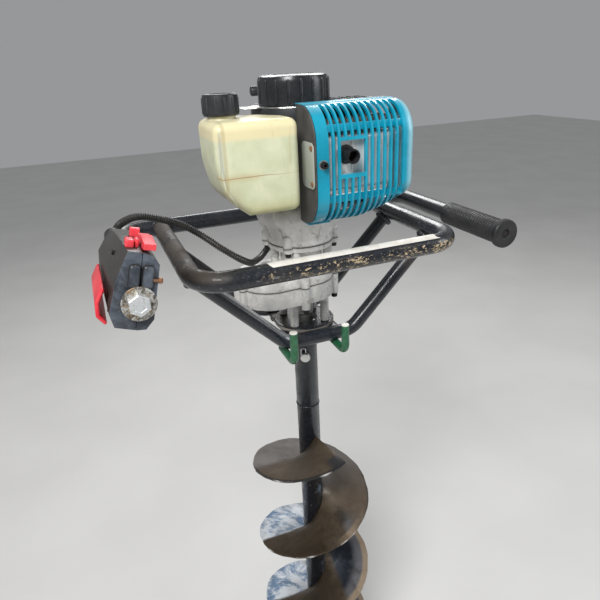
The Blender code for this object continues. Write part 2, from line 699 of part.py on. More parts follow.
def counter_gear():
    gear = prism("counter_gear", gear_outline(COUNTER_TEETH, 0.0, COUNTER_X), -0.0600, -0.0525, STEEL)
    cut(gear, rod("counter_bore", 0.0063, 0.03, STEEL, 16, (COUNTER_X, 0, -0.070)))


def counter_shaft():
    shaft = turned("counter_shaft", [(0, -0.0960), (0.006, -0.0960), (0.006, -0.0493), (0, -0.0493)], STEEL,
                   16, (COUNTER_X, 0, 0))
    teeth = gear_outline(COUNTER_PINION_TEETH, 0.0, COUNTER_X)
    weld(shaft, prism("counter_pinion", teeth, -0.0800, -0.0640, STEEL))


def output_gear():
    tooth = 2 * math.pi / OUTPUT_TEETH
    gear = prism("output_gear", gear_outline(OUTPUT_TEETH, math.pi + tooth / 2, 0.0), -0.0780, -0.0660, STEEL)
    cut(gear, rod("output_bore", 0.0088, 0.03, STEEL, 16, (0, 0, -0.090)))


def output_shaft():
    outline = [(0, -0.225), (0.0142, -0.225), (0.0142, -0.1205), (0.0085, -0.1195), (0.0085, -0.0640),
               (0, -0.0640)]
    shaft = turned("output_shaft", outline, STEEL, 24)
    cut(shaft, pin_rod("shaft_pin_hole", 0.00415, -0.030, 0.030))


def output_bearing():
    washer("output_bearing", 0.0088, 0.0170, 0.0042, STEEL, 24, (0, 0, -0.0837))


BOSSES = [(-0.014, -0.0475), (0.047, -0.010), (-0.094, -0.016), (-0.094, 0.016), (-0.014, 0.0475)]


def gearbox_upper():
    lobes = two_lobes(COUNTER_X, 0.0475, 0, 0.045)
    case = prism("gearbox_upper", lobes, -0.0620, -0.0450, CAST_ALLOY)
    neck = [(0, -0.0455), (0.030, -0.0455), (0.030, -0.012), (0.0465, -0.012), (0.0465, -0.0043), (0, -0.0043)]
    weld(case, turned("neck", neck, CAST_ALLOY, 28))
    for number, (x, y) in enumerate(BOSSES):
        weld(case, rod(f"upper_boss_{number}", 0.0062, 0.0170, CAST_ALLOY, 12, (x, y, -0.0620)))
    room = two_lobes(COUNTER_X, 0.0436, 0, 0.0412)
    cut(case, prism("upper_room", room, -0.0700, -0.0490, STEEL))
    cut(case, rod("input_bore", 0.0082, 0.080, STEEL, 20, (0, 0, -0.060)))


def gearbox_lower():
    lobes = two_lobes(COUNTER_X, 0.0475, 0, 0.045)
    case = prism("gearbox_lower", lobes, -0.0880, -0.0623, CAST_ALLOY)
    weld(case, rod("counter_boss", 0.0165, 0.0105, CAST_ALLOY, 20, (COUNTER_X, 0, -0.0980)))
    weld(case, rod("output_hub", 0.0145, 0.0315, CAST_ALLOY, 20, (0, 0, -0.1190)))
    for number, (x, y) in enumerate(BOSSES):
        weld(case, rod(f"lower_boss_{number}", 0.0062, 0.0317, CAST_ALLOY, 12, (x, y, -0.0940)))
    for number in range(4):
        angle = math.pi / 4 + number * math.pi / 2
        spot = (0.034 * math.cos(angle), 0.034 * math.sin(angle), -0.1284)
        weld(case, rod(f"post_{number}", 0.0063, 0.0410, CAST_ALLOY, 12, spot))
    room = two_lobes(COUNTER_X, 0.0436, 0, 0.0412)
    cut(case, prism("lower_room", room, -0.0840, -0.0600, STEEL))
    cut(case, rod("output_hub_bore", 0.0088, 0.060, STEEL, 20, (0, 0, -0.125)))
    cut(case, rod("counter_seat", 0.0063, 0.014, STEEL, 20, (COUNTER_X, 0, -0.0965)))


# ---------------------------------------------------------------- bit

def pin_direction():
    return Vector((math.cos(PIN_ANGLE), math.sin(PIN_ANGLE), 0))


def pin_rod(name, radius, start, end, coat=STEEL):
    """Round bar across the bit tube, in line with the coupling pin."""
    origin = Vector((0, 0, PIN_Z)) + pin_direction() * start
    return rod(name, radius, end - start, coat, 16, origin, pin_direction())


def auger_tube():
    tube = washer("auger_tube", BIT_TUBE_R - BIT_TUBE_WALL, BIT_TUBE_R, BIT_TUBE_TOP - BIT_TUBE_LOW,
                  BIT_PAINT, 24, (0, 0, BIT_TUBE_LOW))
    cut(tube, pin_rod("tube_pin_hole", 0.00415, -0.030, 0.030))


def coupling_pin():
    pin = pin_rod("coupling_pin", 0.0040, -0.0215, 0.0195)
    weld(pin, pin_rod("pin_head", 0.0075, 0.0188, 0.0248))


def auger_flight():
    """Helical blade welded round the tube; right-handed, so it descends clockwise seen from above."""
    inner = BIT_TUBE_R + GAP
    half = 0.0020
    turns = (FLIGHT_TOP - FLIGHT_LOW) / BIT_PITCH
    steps = math.ceil(turns * 24)
    sections = []
    for step in range(steps + 1):
        angle = FLIGHT_START - 2 * math.pi * turns * step / steps
        level = FLIGHT_TOP - BIT_PITCH * turns * step / steps
        across = Vector((math.cos(angle), math.sin(angle), 0))
        corners = [(inner, -half), (BIT_R, -half), (BIT_R, half), (inner, half)]
        sections.append([across * radius + Vector((0, 0, level + lift)) for radius, lift in corners])
    loft("auger_flight", sections, FLIGHT_STEEL)


def flight_end_angle():
    return FLIGHT_START - 2 * math.pi * (FLIGHT_TOP - FLIGHT_LOW) / BIT_PITCH


def blade(name, turn):
    """Flat cutting blade at the foot of the bit, its leading edge down."""
    angle = flight_end_angle() + turn
    outline = [(0.0235, 0.010), (0.0990, 0.010), (0.0990, -0.022), (0.0235, -0.026)]
    lean = Matrix.Rotation(math.radians(22), 4, "X")
    frame = Matrix.Translation((0, 0, -0.9285)) @ Matrix.Rotation(angle, 4, "Z") @ lean
    prism(name, outline, -0.0025, 0.0025, FLIGHT_STEEL, frame)


def centre_point():
    """Hub under the tube's foot that carries the blades, with a plug and a flat fishtail point."""
    plug_r = BIT_TUBE_R - BIT_TUBE_WALL - GAP
    outline = [(0, -0.9480), (0.0205, -0.9480), (0.0225, -0.9460), (0.0225, BIT_TUBE_LOW - GAP),
               (plug_r, BIT_TUBE_LOW - GAP), (plug_r, -0.912), (0, -0.912)]
    plug = turned("centre_point", outline, STEEL, 20)
    tail = [(-0.015, -0.946), (-0.015, -0.953), (0, -0.970), (0.015, -0.953), (0.015, -0.946)]
    frame = Matrix(((1, 0, 0, 0), (0, 0, 1, 0), (0, 1, 0, 0), (0, 0, 0, 1)))
    weld(plug, prism("fishtail", tail, -0.003, 0.003, STEEL, frame))


# ---------------------------------------------------------------- build

rear_handlebar()
front_loop()
lower_brace("lower_brace_front", -BRACE_Y)
lower_brace("lower_brace_rear", BRACE_Y)
base_plate()
mount_disc()
hook("hook_left", -0.051)
hook("hook_right", 0.025)
right_grip()
throttle_housing()
bar_end_washer()
bar_end_bolt()
throttle_trigger()
throttle_lock()
kill_switch()
throttle_conduit()
crankcase()
cylinder()
piston()
spark_plug()
plug_boot()
crankshaft()
flywheel_fan()
ignition_coil()
fan_shroud()
starter_housing()
starter_pulley()
starter_handle()
engine_cover()
heat_shield()
label_plate()
cover_screw()
muffler()
carburettor()
air_filter_cover()
choke_lever()
primer_bulb()
fuel_tank()
fuel_cap()
fuel_hose()
clutch_hub()
clutch_shoe("clutch_shoe_front", -90)
clutch_shoe("clutch_shoe_rear", 90)
clutch_drum()
clutch_housing()
input_pinion()
counter_gear()
counter_shaft()
output_gear()
output_shaft()
output_bearing()
gearbox_upper()
gearbox_lower()
auger_tube()
coupling_pin()
auger_flight()
blade("blade_front", 0.0)
blade("blade_rear", math.pi)
centre_point()
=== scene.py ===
import math

import bmesh
import bpy
from mathutils import Matrix, Vector


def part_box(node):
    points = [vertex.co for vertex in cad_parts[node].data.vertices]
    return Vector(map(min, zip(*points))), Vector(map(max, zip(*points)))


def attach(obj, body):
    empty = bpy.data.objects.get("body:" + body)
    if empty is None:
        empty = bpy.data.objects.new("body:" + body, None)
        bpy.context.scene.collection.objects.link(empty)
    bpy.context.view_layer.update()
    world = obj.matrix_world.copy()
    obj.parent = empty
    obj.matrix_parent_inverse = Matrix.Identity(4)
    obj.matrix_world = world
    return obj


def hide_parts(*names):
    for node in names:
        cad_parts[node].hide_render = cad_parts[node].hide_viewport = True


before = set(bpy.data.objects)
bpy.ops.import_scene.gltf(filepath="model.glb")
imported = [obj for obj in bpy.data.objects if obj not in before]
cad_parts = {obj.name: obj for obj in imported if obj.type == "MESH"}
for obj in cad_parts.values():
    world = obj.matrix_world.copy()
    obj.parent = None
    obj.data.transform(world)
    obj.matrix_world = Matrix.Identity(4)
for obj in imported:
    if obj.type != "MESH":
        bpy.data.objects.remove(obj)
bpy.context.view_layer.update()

X = Vector((1, 0, 0))
Y = Vector((0, 1, 0))
Z = Vector((0, 0, 1))

ARM_X = 0.2435          # the hand grips, either side of the drive axis
REAR_Y = 0.149
LOOP_Y = -0.128
LOOP_X = 0.175
BAR_R = 0.0127
BRACE_R = 0.010
BRACE_LOW = -0.134
BEND = 0.042            # bend radius of the bars, at the middle of the tube
ARM_BREAK = 0.100       # where the left arm starts to rise
LEFT_END = Vector((-ARM_X, -0.203, 0.024))
ROLL = math.radians(14)


# ---------------------------------------------------------------- camera

def aim_camera():
    """Camera above and to the left of the handle, looking down at the engine."""
    eye = (-0.2685, -0.705, 0.2296)
    pitch, yaw, roll = math.radians(23.7), math.radians(20.5), math.radians(-2.9)
    forward = Vector((math.sin(yaw) * math.cos(pitch), math.cos(yaw) * math.cos(pitch), -math.sin(pitch)))
    level = Vector((math.cos(yaw), -math.sin(yaw), 0))
    over = level.cross(forward)
    right = level * math.cos(roll) + over * math.sin(roll)
    up = over * math.cos(roll) - level * math.sin(roll)
    bpy.ops.object.camera_add()
    camera = bpy.context.object
    camera.name = "camera"
    turn = Matrix((right, up, -forward)).transposed().to_4x4()
    camera.matrix_world = Matrix.Translation(eye) @ turn
    camera.data.lens = 33
    camera.data.sensor_width = 36
    camera.data.clip_start = 0.01
    bpy.context.scene.camera = camera


# ---------------------------------------------------------------- bench tools

def clear():
    """Leave edit mode with nothing selected."""
    if bpy.context.object and bpy.context.object.mode != "OBJECT":
        bpy.ops.object.mode_set(mode="OBJECT")
    bpy.ops.object.select_all(action="DESELECT")


def hold(piece):
    """Make the piece the only selected one."""
    clear()
    piece.select_set(True)
    bpy.context.view_layer.objects.active = piece
    return piece


def settle(name):
    """Name the new primitive and put its place into its mesh."""
    piece = bpy.context.object
    piece.name = name
    piece.data.name = name
    hold(piece)
    bpy.ops.object.transform_apply(location=True, rotation=True, scale=True)
    return piece


def pick(piece, part, test):
    """Open the piece for editing and select the faces or edges that pass the test."""
    hold(piece)
    bpy.ops.object.mode_set(mode="EDIT")
    bpy.ops.mesh.select_mode(type="FACE" if part == "faces" else "EDGE")
    bpy.ops.mesh.select_all(action="DESELECT")
    mesh = bmesh.from_edit_mesh(piece.data)
    if part == "faces":
        for face in mesh.faces:
            if test(face.calc_center_median(), face.normal):
                face.select_set(True)
    else:
        for edge in mesh.edges:
            first, second = edge.verts[0].co, edge.verts[1].co
            if test((first + second) / 2, (second - first).normalized()):
                edge.select_set(True)
    mesh.select_flush_mode()
    bmesh.update_edit_mesh(piece.data)
    return piece


def close_edit():
    bpy.ops.object.mode_set(mode="OBJECT")


def seal(bridged=False):
    """Close the open ends by caps, or by joining them, and turn the faces outward."""
    bpy.ops.mesh.select_all(action="DESELECT")
    bpy.ops.mesh.select_non_manifold(extend=False)
    if bridged:
        bpy.ops.mesh.bridge_edge_loops()
    else:
        bpy.ops.mesh.fill_holes(sides=0)
    bpy.ops.mesh.select_all(action="SELECT")
    bpy.ops.mesh.normals_make_consistent(inside=False)
    close_edit()


def merge(reach):
    """Make one of the corners that lie within the reach of each other."""
    bpy.ops.mesh.select_all(action="SELECT")
    bpy.ops.mesh.remove_doubles(threshold=reach)


def everything(centre, way):
    return True


def slice_off(piece, point, normal):
    """Cut away what lies beyond a plane and close the cut."""
    pick(piece, "faces", everything)
    bpy.ops.mesh.bisect(plane_co=point, plane_no=normal, use_fill=True, clear_outer=True)
    close_edit()


def round_edges(piece, test, offset, segments):
    pick(piece, "edges", test)
    bpy.ops.mesh.bevel(offset=offset, segments=segments, affect="EDGES")
    close_edit()


def block(name, low, high):
    """Box between two corners, the start of a shape."""
    low, high = Vector(low), Vector(high)
    clear()
    bpy.ops.mesh.primitive_cube_add(size=1, location=(low + high) / 2, scale=high - low)
    return settle(name)


def soften(piece, width, segments=3, angle=30):
    """Round every sharp edge."""
    apply(piece, "BEVEL", width=width, segments=segments, limit_method="ANGLE",
          angle_limit=math.radians(angle))
    return shade(piece)


def apply(piece, kind, **values):
    """Add a modifier and apply it."""
    hold(piece)
    step = piece.modifiers.new(kind.lower(), kind)
    for key, value in values.items():
        setattr(step, key, value)
    bpy.ops.object.modifier_apply(modifier=step.name)
    return piece


def shade(piece, angle=35):
    hold(piece)
    bpy.ops.object.shade_smooth_by_angle(angle=math.radians(angle))
    return piece


def cut(piece, cutter):
    """Take the cutter's shape out of the piece."""
    apply(piece, "BOOLEAN", operation="DIFFERENCE", solver="EXACT", object=cutter)
    bpy.data.objects.remove(cutter, do_unlink=True)
    return piece


def join(name, pieces):
    """Make one object of several pieces that touch."""
    clear()
    for piece in pieces:
        piece.select_set(True)
    bpy.context.view_layer.objects.active = pieces[0]
    if len(pieces) > 1:
        bpy.ops.object.join()
    pieces[0].name = name
    pieces[0].data.name = name
    return pieces[0]


def copy(piece, name):
    """Double of a piece with its own mesh."""
    hold(piece)
    bpy.ops.object.duplicate()
    twin = bpy.context.object
    twin.name = name
    twin.data.name = name
    return twin


def move(piece, by=(0, 0, 0), turn=None):
    """Shift or turn the mesh and leave the object at the origin."""
    if turn:
        piece.data.transform(turn)
    piece.data.transform(Matrix.Translation(Vector(by)))
    return piece


def aim(direction, at=(0, 0, 0)):
    """Placement that takes +Z to the direction and the origin to a point."""
    turn = Z.rotation_difference(Vector(direction)).to_matrix().to_4x4()
    return Matrix.Translation(Vector(at)) @ turn


def around(radius, degrees, height=0.0):
    """Point on a circle round the drive axis."""
    turn = math.radians(degrees)
    return Vector((radius * math.cos(turn), radius * math.sin(turn), height))


def turned(name, rings, at=(0, 0, 0), along=(0, 0, 1), sides=48, closed=False, angle=35):
    """Circle drawn out ring by ring; each (radius, height) is one extrusion."""
    clear()
    radius, height = rings[0]
    bpy.ops.mesh.primitive_circle_add(vertices=sides, radius=radius, location=(0, 0, height))
    piece = settle(name)
    bpy.ops.object.mode_set(mode="EDIT")
    bpy.ops.mesh.select_mode(type="EDGE")
    bpy.ops.mesh.select_all(action="SELECT")
    for wide, high in rings[1:]:
        bpy.ops.mesh.extrude_region_move(TRANSFORM_OT_translate={"value": (0, 0, high - height)})
        bpy.ops.transform.resize(value=(wide / radius, wide / radius, 1), center_override=(0, 0, high))
        radius, height = wide, high
    seal(closed)
    move(piece, turn=aim(along, at))
    return shade(piece, angle)


def bent_tube(name, corners, bend, radius, sides=32, steps=12):
    """Tube that is extruded along each straight and spun round each bend."""
    corners = [Vector(corner) for corner in corners]
    clear()
    heading = (corners[1] - corners[0]).normalized()
    lean = Z.rotation_difference(heading).to_euler()
    bpy.ops.mesh.primitive_circle_add(vertices=sides, radius=radius, location=corners[0], rotation=lean)
    piece = settle(name)
    bpy.ops.object.mode_set(mode="EDIT")
    bpy.ops.mesh.select_mode(type="EDGE")
    bpy.ops.mesh.select_all(action="SELECT")
    place = corners[0]
    for corner, after in zip(corners[1:], corners[2:]):
        onward = (after - corner).normalized()
        turn = heading.angle(onward)
        inset = bend * math.tan(turn / 2)
        start = corner - heading * inset
        bpy.ops.mesh.extrude_region_move(TRANSFORM_OT_translate={"value": start - place})
        axis = heading.cross(onward).normalized()
        centre = start + axis.cross(heading) * bend
        bpy.ops.mesh.spin(steps=steps, angle=-turn, center=centre, axis=axis)
        place = corner + onward * inset
        heading = onward
    bpy.ops.mesh.extrude_region_move(TRANSFORM_OT_translate={"value": corners[-1] - place})
    merge(0.00002)
    seal()
    return shade(piece, 40)


def traced(node, name, width=0.0, segments=2, angle=30):
    """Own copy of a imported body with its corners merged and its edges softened."""
    piece = copy(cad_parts[node], name)
    for key in list(piece.keys()):
        del piece[key]
    piece.parent = None
    piece.matrix_world = Matrix.Identity(4)
    bpy.ops.object.mode_set(mode="EDIT")
    merge(0.00002)
    bpy.ops.mesh.dissolve_limited(angle_limit=math.radians(1.0))
    close_edit()
    if width:
        apply(piece, "BEVEL", width=width, segments=segments, limit_method="ANGLE",
              angle_limit=math.radians(angle))
    return shade(piece, 35)


def fit(piece, finish, body, slot, *stands_for):
    """Give the piece its finish and its body, and hide the nodes that it stands for."""
    piece.data.materials.clear()
    piece.data.materials.append(finish)
    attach(piece, body)
    if stands_for:
        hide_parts(*stands_for)
    return piece


def eased(node, finish, body, slot, width, segments=2, angle=30):
    """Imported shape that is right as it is, with its edges softened."""
    return fit(traced(node, f"{node}_skin", width, segments, angle), finish, body, slot, node)


# ---------------------------------------------------------------- finishes

class Finish:
    """A material in the making, its patterns laid out in the piece's own space."""

    def __init__(self, name, roughness=0.4, metallic=0.0, **sockets):
        self.material = bpy.data.materials.new(name)
        self.material.use_nodes = True
        self.nodes = self.material.node_tree.nodes
        self.links = self.material.node_tree.links
        self.shader = self.nodes["Principled BSDF"]
        self.shader.inputs["Roughness"].default_value = roughness
        self.shader.inputs["Metallic"].default_value = metallic
        for key, value in sockets.items():
            self.shader.inputs[key.replace("_", " ")].default_value = value
        self.space = self.nodes.new("ShaderNodeTexCoord").outputs["Object"]
        self.last_normal = None
        self.ground = None

    def stretched(self, scale):
        node = self.nodes.new("ShaderNodeMapping")
        node.inputs["Scale"].default_value = scale
        self.links.new(self.space, node.inputs["Vector"])
        return node.outputs["Vector"]

    def noise(self, scale, detail=5, roughness=0.6, distortion=0.0, stretch=None):
        node = self.nodes.new("ShaderNodeTexNoise")
        node.inputs["Scale"].default_value = scale
        node.inputs["Detail"].default_value = detail
        node.inputs["Roughness"].default_value = roughness
        node.inputs["Distortion"].default_value = distortion
        self.links.new(self.stretched(stretch) if stretch else self.space, node.inputs["Vector"])
        return node.outputs["Fac"]

    def specks(self, scale):
        node = self.nodes.new("ShaderNodeTexVoronoi")
        node.inputs["Scale"].default_value = scale
        self.links.new(self.space, node.inputs["Vector"])
        return node.outputs["Distance"]

    def axis(self, letter):
        node = self.nodes.new("ShaderNodeSeparateXYZ")
        self.links.new(self.space, node.inputs["Vector"])
        return node.outputs[letter]

    def normal_axis(self, letter):
        place = self.nodes.new("ShaderNodeNewGeometry")
        node = self.nodes.new("ShaderNodeSeparateXYZ")
        self.links.new(place.outputs["Normal"], node.inputs["Vector"])
        return node.outputs[letter]

    def maths(self, kind, *values):
        node = self.nodes.new("ShaderNodeMath")
        node.operation = kind
        for slot, value in zip(node.inputs, values):
            if isinstance(value, (int, float)):
                slot.default_value = value
            else:
                self.links.new(value, slot)
        return node.outputs[0]

    def times(self, mask, *others):
        """Masks and amounts multiplied together."""
        for other in others:
            mask = self.maths("MULTIPLY", mask, other)
        return mask

    def sway(self, pattern, reach):
        """A pattern of 0 to 1 as a shift of half the reach either way."""
        return self.times(self.maths("SUBTRACT", pattern, 0.5), reach)

    def line(self, height, level):
        """Distance from a level."""
        return self.maths("ABSOLUTE", self.maths("SUBTRACT", height, level))

    def band(self, value, low, high, first=0.0, second=1.0):
        """Ramp from one number to another as the value climbs."""
        node = self.nodes.new("ShaderNodeMapRange")
        node.interpolation_type = "SMOOTHSTEP"
        for key, number in zip(("From Min", "From Max", "To Min", "To Max"), (low, high, first, second)):
            node.inputs[key].default_value = number
        self.links.new(value, node.inputs["Value"])
        return node.outputs["Result"]

    def blend(self, factor, first, second):
        node = self.nodes.new("ShaderNodeMix")
        node.data_type = "RGBA"
        self.links.new(factor, node.inputs["Factor"])
        for key, value in (("A", first), ("B", second)):
            slot = [s for s in node.inputs if s.name == key and s.type == "RGBA"][0]
            if isinstance(value, tuple):
                slot.default_value = (*value, 1.0)
            else:
                self.links.new(value, slot)
        return [s for s in node.outputs if s.type == "RGBA"][0]

    def colour(self, value):
        """Ground colour, or the colour so far."""
        self.ground = value
        self.links.new(value, self.shader.inputs["Base Color"])

    def lay(self, mask, tint):
        """One more layer of colour over what is there."""
        self.colour(self.blend(mask, self.ground, tint))

    def rough(self, value):
        self.links.new(value, self.shader.inputs["Roughness"])

    def metal(self, value):
        self.links.new(value, self.shader.inputs["Metallic"])

    def relief(self, height, strength=0.3, distance=0.0005):
        node = self.nodes.new("ShaderNodeBump")
        node.inputs["Strength"].default_value = strength
        node.inputs["Distance"].default_value = distance
        self.links.new(height, node.inputs["Height"])
        if self.last_normal:
            self.links.new(self.last_normal, node.inputs["Normal"])
        self.links.new(node.outputs["Normal"], self.shader.inputs["Normal"])
        self.last_normal = node.outputs["Normal"]


def enamel(name, base, dust=(0.16, 0.12, 0.085), dust_amount=0.55, gloss=0.25):
    """Gloss paint on steel with dust in patches and fine scuffs."""
    f = Finish(name, gloss, 0.0, Coat_Weight=0.12, Coat_Roughness=0.15)
    broad = f.noise(9, 6, 0.65, 0.3)
    fine = f.noise(160, 6, 0.7)
    dusty = f.band(broad, 0.50, 0.78, 0.0, dust_amount)
    shade_of = f.blend(f.band(fine, 0.35, 0.75), base, tuple(c * 1.9 + 0.004 for c in base))
    f.colour(f.blend(dusty, shade_of, dust))
    scuff = f.band(f.noise(420, 4, 0.75, 0.4), 0.66, 0.72)
    f.lay(f.times(scuff, 0.25), (0.35, 0.32, 0.28))
    f.rough(f.band(f.maths("ADD", broad, f.times(fine, 0.35)), 0.55, 1.0, gloss, 0.62))
    f.relief(fine, 0.12, 0.0003)
    f.relief(f.noise(30, 4, 0.6), 0.08, 0.0008)
    return f.material


def moulding(name, base, light, gloss=0.42, grime=(0.11, 0.095, 0.075), grime_amount=0.4):
    """Moulded plastic with a fine grain, faded highs and grime in patches."""
    f = Finish(name, gloss, 0.0, Coat_Weight=0.05)
    broad = f.noise(22, 6, 0.65, 0.2)
    fine = f.noise(520, 3, 0.6)
    f.colour(f.blend(f.band(broad, 0.35, 0.7), base, light))
    f.lay(f.band(f.noise(38, 7, 0.72, 0.5), 0.56, 0.80, 0.0, grime_amount), grime)
    scratch = f.band(f.noise(90, 3, 0.5, 0.0, (1, 1, 9)), 0.70, 0.73)
    f.lay(f.times(scratch, 0.3), tuple(min(1, c * 2.2 + 0.06) for c in base))
    f.rough(f.band(broad, 0.3, 0.75, gloss * 0.8, min(0.85, gloss * 1.5)))
    f.relief(fine, 0.10, 0.0002)
    return f.material


def casting(name, base, seams=()):
    """Die-cast alloy: pale and matte with a sandy skin, oil and dust, dark lines at its joints, and painted
    shade on faces turned down.
    """
    f = Finish(name, 0.46, 0.30)
    broad = f.noise(26, 8, 0.68, 0.4)
    fine = f.noise(420, 4, 0.65)
    f.colour(f.blend(f.band(broad, 0.38, 0.68), tuple(c * 0.80 for c in base),
                     tuple(min(1, c * 1.12) for c in base)))
    f.lay(f.band(f.noise(62, 8, 0.78, 0.5), 0.53, 0.68, 0.0, 0.62), (0.10, 0.085, 0.068))
    f.lay(f.band(f.noise(48, 7, 0.75, 0.4, (1, 1, 0.22)), 0.57, 0.70, 0.0, 0.45), (0.20, 0.15, 0.10))
    dots = f.band(f.specks(230), 0.26, 0.12)
    f.lay(f.times(dots, f.band(broad, 0.5, 0.6, 0.0, 0.6)), (0.05, 0.04, 0.035))
    wobble = f.sway(f.noise(70, 3, 0.5), 0.0022)
    for level in seams:
        off = f.line(f.maths("ADD", f.axis("Z"), wobble), level)
        f.lay(f.band(off, 0.0034, 0.0004, 0.0, 0.35), (0.09, 0.07, 0.05))
        f.lay(f.band(off, 0.0009, 0.0003, 0.0, 0.92), (0.018, 0.015, 0.012))
    # faces turned downward are darkened: painted shade
    under = f.band(f.normal_axis("Z"), -0.30, -0.85, 0.0, 0.55)
    f.lay(under, (0.085, 0.072, 0.058))
    f.rough(f.band(broad, 0.3, 0.75, 0.40, 0.68))
    f.relief(fine, 0.35, 0.0003)
    f.relief(f.noise(60, 5, 0.6), 0.2, 0.0006)
    return f.material


def handle_skin():
    """Scuffed black plastic: brown dust on the sides, and a front painted lighter blue-grey as a painted
    highlight.
    """
    f = Finish("handle_plastic", 0.40)
    broad = f.noise(42, 6, 0.68, 0.5)
    side = f.blend(f.band(broad, 0.36, 0.64), (0.020, 0.019, 0.018), (0.046, 0.041, 0.035))
    # front: lighter blue-grey tones for faces turned to -Y, a painted highlight
    front = f.blend(f.band(broad, 0.36, 0.64), (0.036, 0.043, 0.055), (0.105, 0.122, 0.150))
    f.colour(f.blend(f.band(f.normal_axis("Y"), -0.30, -0.75), side, front))
    f.lay(f.band(f.noise(230, 5, 0.75, 0.2, (1, 0.35, 1)), 0.60, 0.72, 0.0, 0.5), (0.20, 0.17, 0.13))
    f.lay(f.band(f.specks(260), 0.16, 0.08, 0.0, 0.5), (0.26, 0.22, 0.17))
    f.rough(f.band(broad, 0.3, 0.7, 0.32, 0.52))
    f.relief(f.noise(700, 3, 0.6), 0.12, 0.0002)
    f.relief(broad, 0.10, 0.0010)
    return f.material


def plated(name, base=(0.62, 0.61, 0.58), rust=0.3, gloss=0.28):
    """Zinc-plated or bright steel with stains and a little rust."""
    f = Finish(name, gloss, 1.0)
    broad = f.noise(60, 6, 0.65, 0.3)
    fine = f.noise(600, 4, 0.6)
    f.colour(f.blend(f.band(broad, 0.35, 0.7), tuple(c * 0.72 for c in base), base))
    spots = f.band(f.noise(140, 6, 0.7, 0.6), 0.58, 0.72, 0.0, rust)
    f.lay(spots, (0.22, 0.10, 0.04))
    f.metal(f.band(spots, 0.0, 0.5, 1.0, 0.35))
    f.rough(f.band(broad, 0.3, 0.75, gloss, gloss + 0.3))
    f.relief(fine, 0.15, 0.0002)
    return f.material


def tank_skin():
    """Cloudy blow-moulded plastic: warm above the fuel, greener below, stained along a line."""
    f = Finish("tank_skin", 0.34, 0.0, Coat_Weight=0.15, Coat_Roughness=0.25,
               Subsurface_Weight=0.35, Subsurface_Scale=0.012)
    f.shader.inputs["Subsurface Radius"].default_value = (1.0, 0.85, 0.45)
    height = f.axis("Z")
    broad = f.noise(30, 5, 0.6, 0.3)
    level = f.maths("ADD", height, f.sway(broad, 0.004))
    fuel = f.blend(f.band(broad, 0.3, 0.7), (0.60, 0.63, 0.42), (0.72, 0.73, 0.52))
    f.colour(f.blend(f.band(level, 0.1475, 0.1525), fuel, (0.78, 0.71, 0.44)))
    f.lay(f.band(height, 0.088, 0.064, 0.0, 0.75), (0.44, 0.42, 0.19))
    streak = f.band(f.noise(70, 6, 0.7, 0.2, (1, 1, 0.16)), 0.56, 0.76, 0.0, 0.40)
    f.lay(streak, (0.48, 0.36, 0.17))
    side = f.band(f.axis("X"), -0.098, -0.118, 0.0, 0.55)
    low = f.band(height, 0.110, 0.078)
    f.lay(f.times(side, low), (0.36, 0.30, 0.15))
    line_z = f.maths("ADD", height, f.times(f.noise(24, 2, 0.5), 0.004))
    off = f.line(line_z, 0.1112)
    thin = f.band(off, 0.0009, 0.0002)
    reach = f.band(f.axis("X"), -0.044, -0.088, 0.15, 0.75)
    front = f.band(f.axis("Y"), -0.080, -0.094)
    f.lay(f.times(thin, reach, front), (0.30, 0.15, 0.05))
    halo = f.times(f.band(off, 0.0075, 0.0), f.band(f.axis("X"), -0.075, -0.092, 0.0, 0.35))
    f.lay(f.times(halo, front), (0.52, 0.37, 0.15))
    dots = f.band(f.specks(95), 0.085, 0.045, 0.0, 0.8)
    rare = f.band(f.noise(40, 2, 0.5), 0.52, 0.60)
    f.lay(f.times(dots, rare), (0.16, 0.11, 0.05))
    grain = f.band(f.noise(900, 3, 0.6), 0.62, 0.75, 0.0, 0.25)
    f.lay(f.times(grain, f.band(f.axis("X"), -0.085, -0.055)), (0.25, 0.20, 0.12))
    # brownish tint along the groove line on the front: painted shade in the groove
    groove = f.band(f.line(f.axis("X"), -0.1222), 0.0032, 0.0008, 0.0, 0.40)
    f.lay(f.times(groove, front), (0.42, 0.31, 0.14))
    f.rough(f.band(broad, 0.3, 0.7, 0.28, 0.48))
    f.relief(f.noise(26, 3, 0.5), 0.25, 0.002)
    f.relief(f.noise(500, 3, 0.6), 0.06, 0.0002)
    return f.material


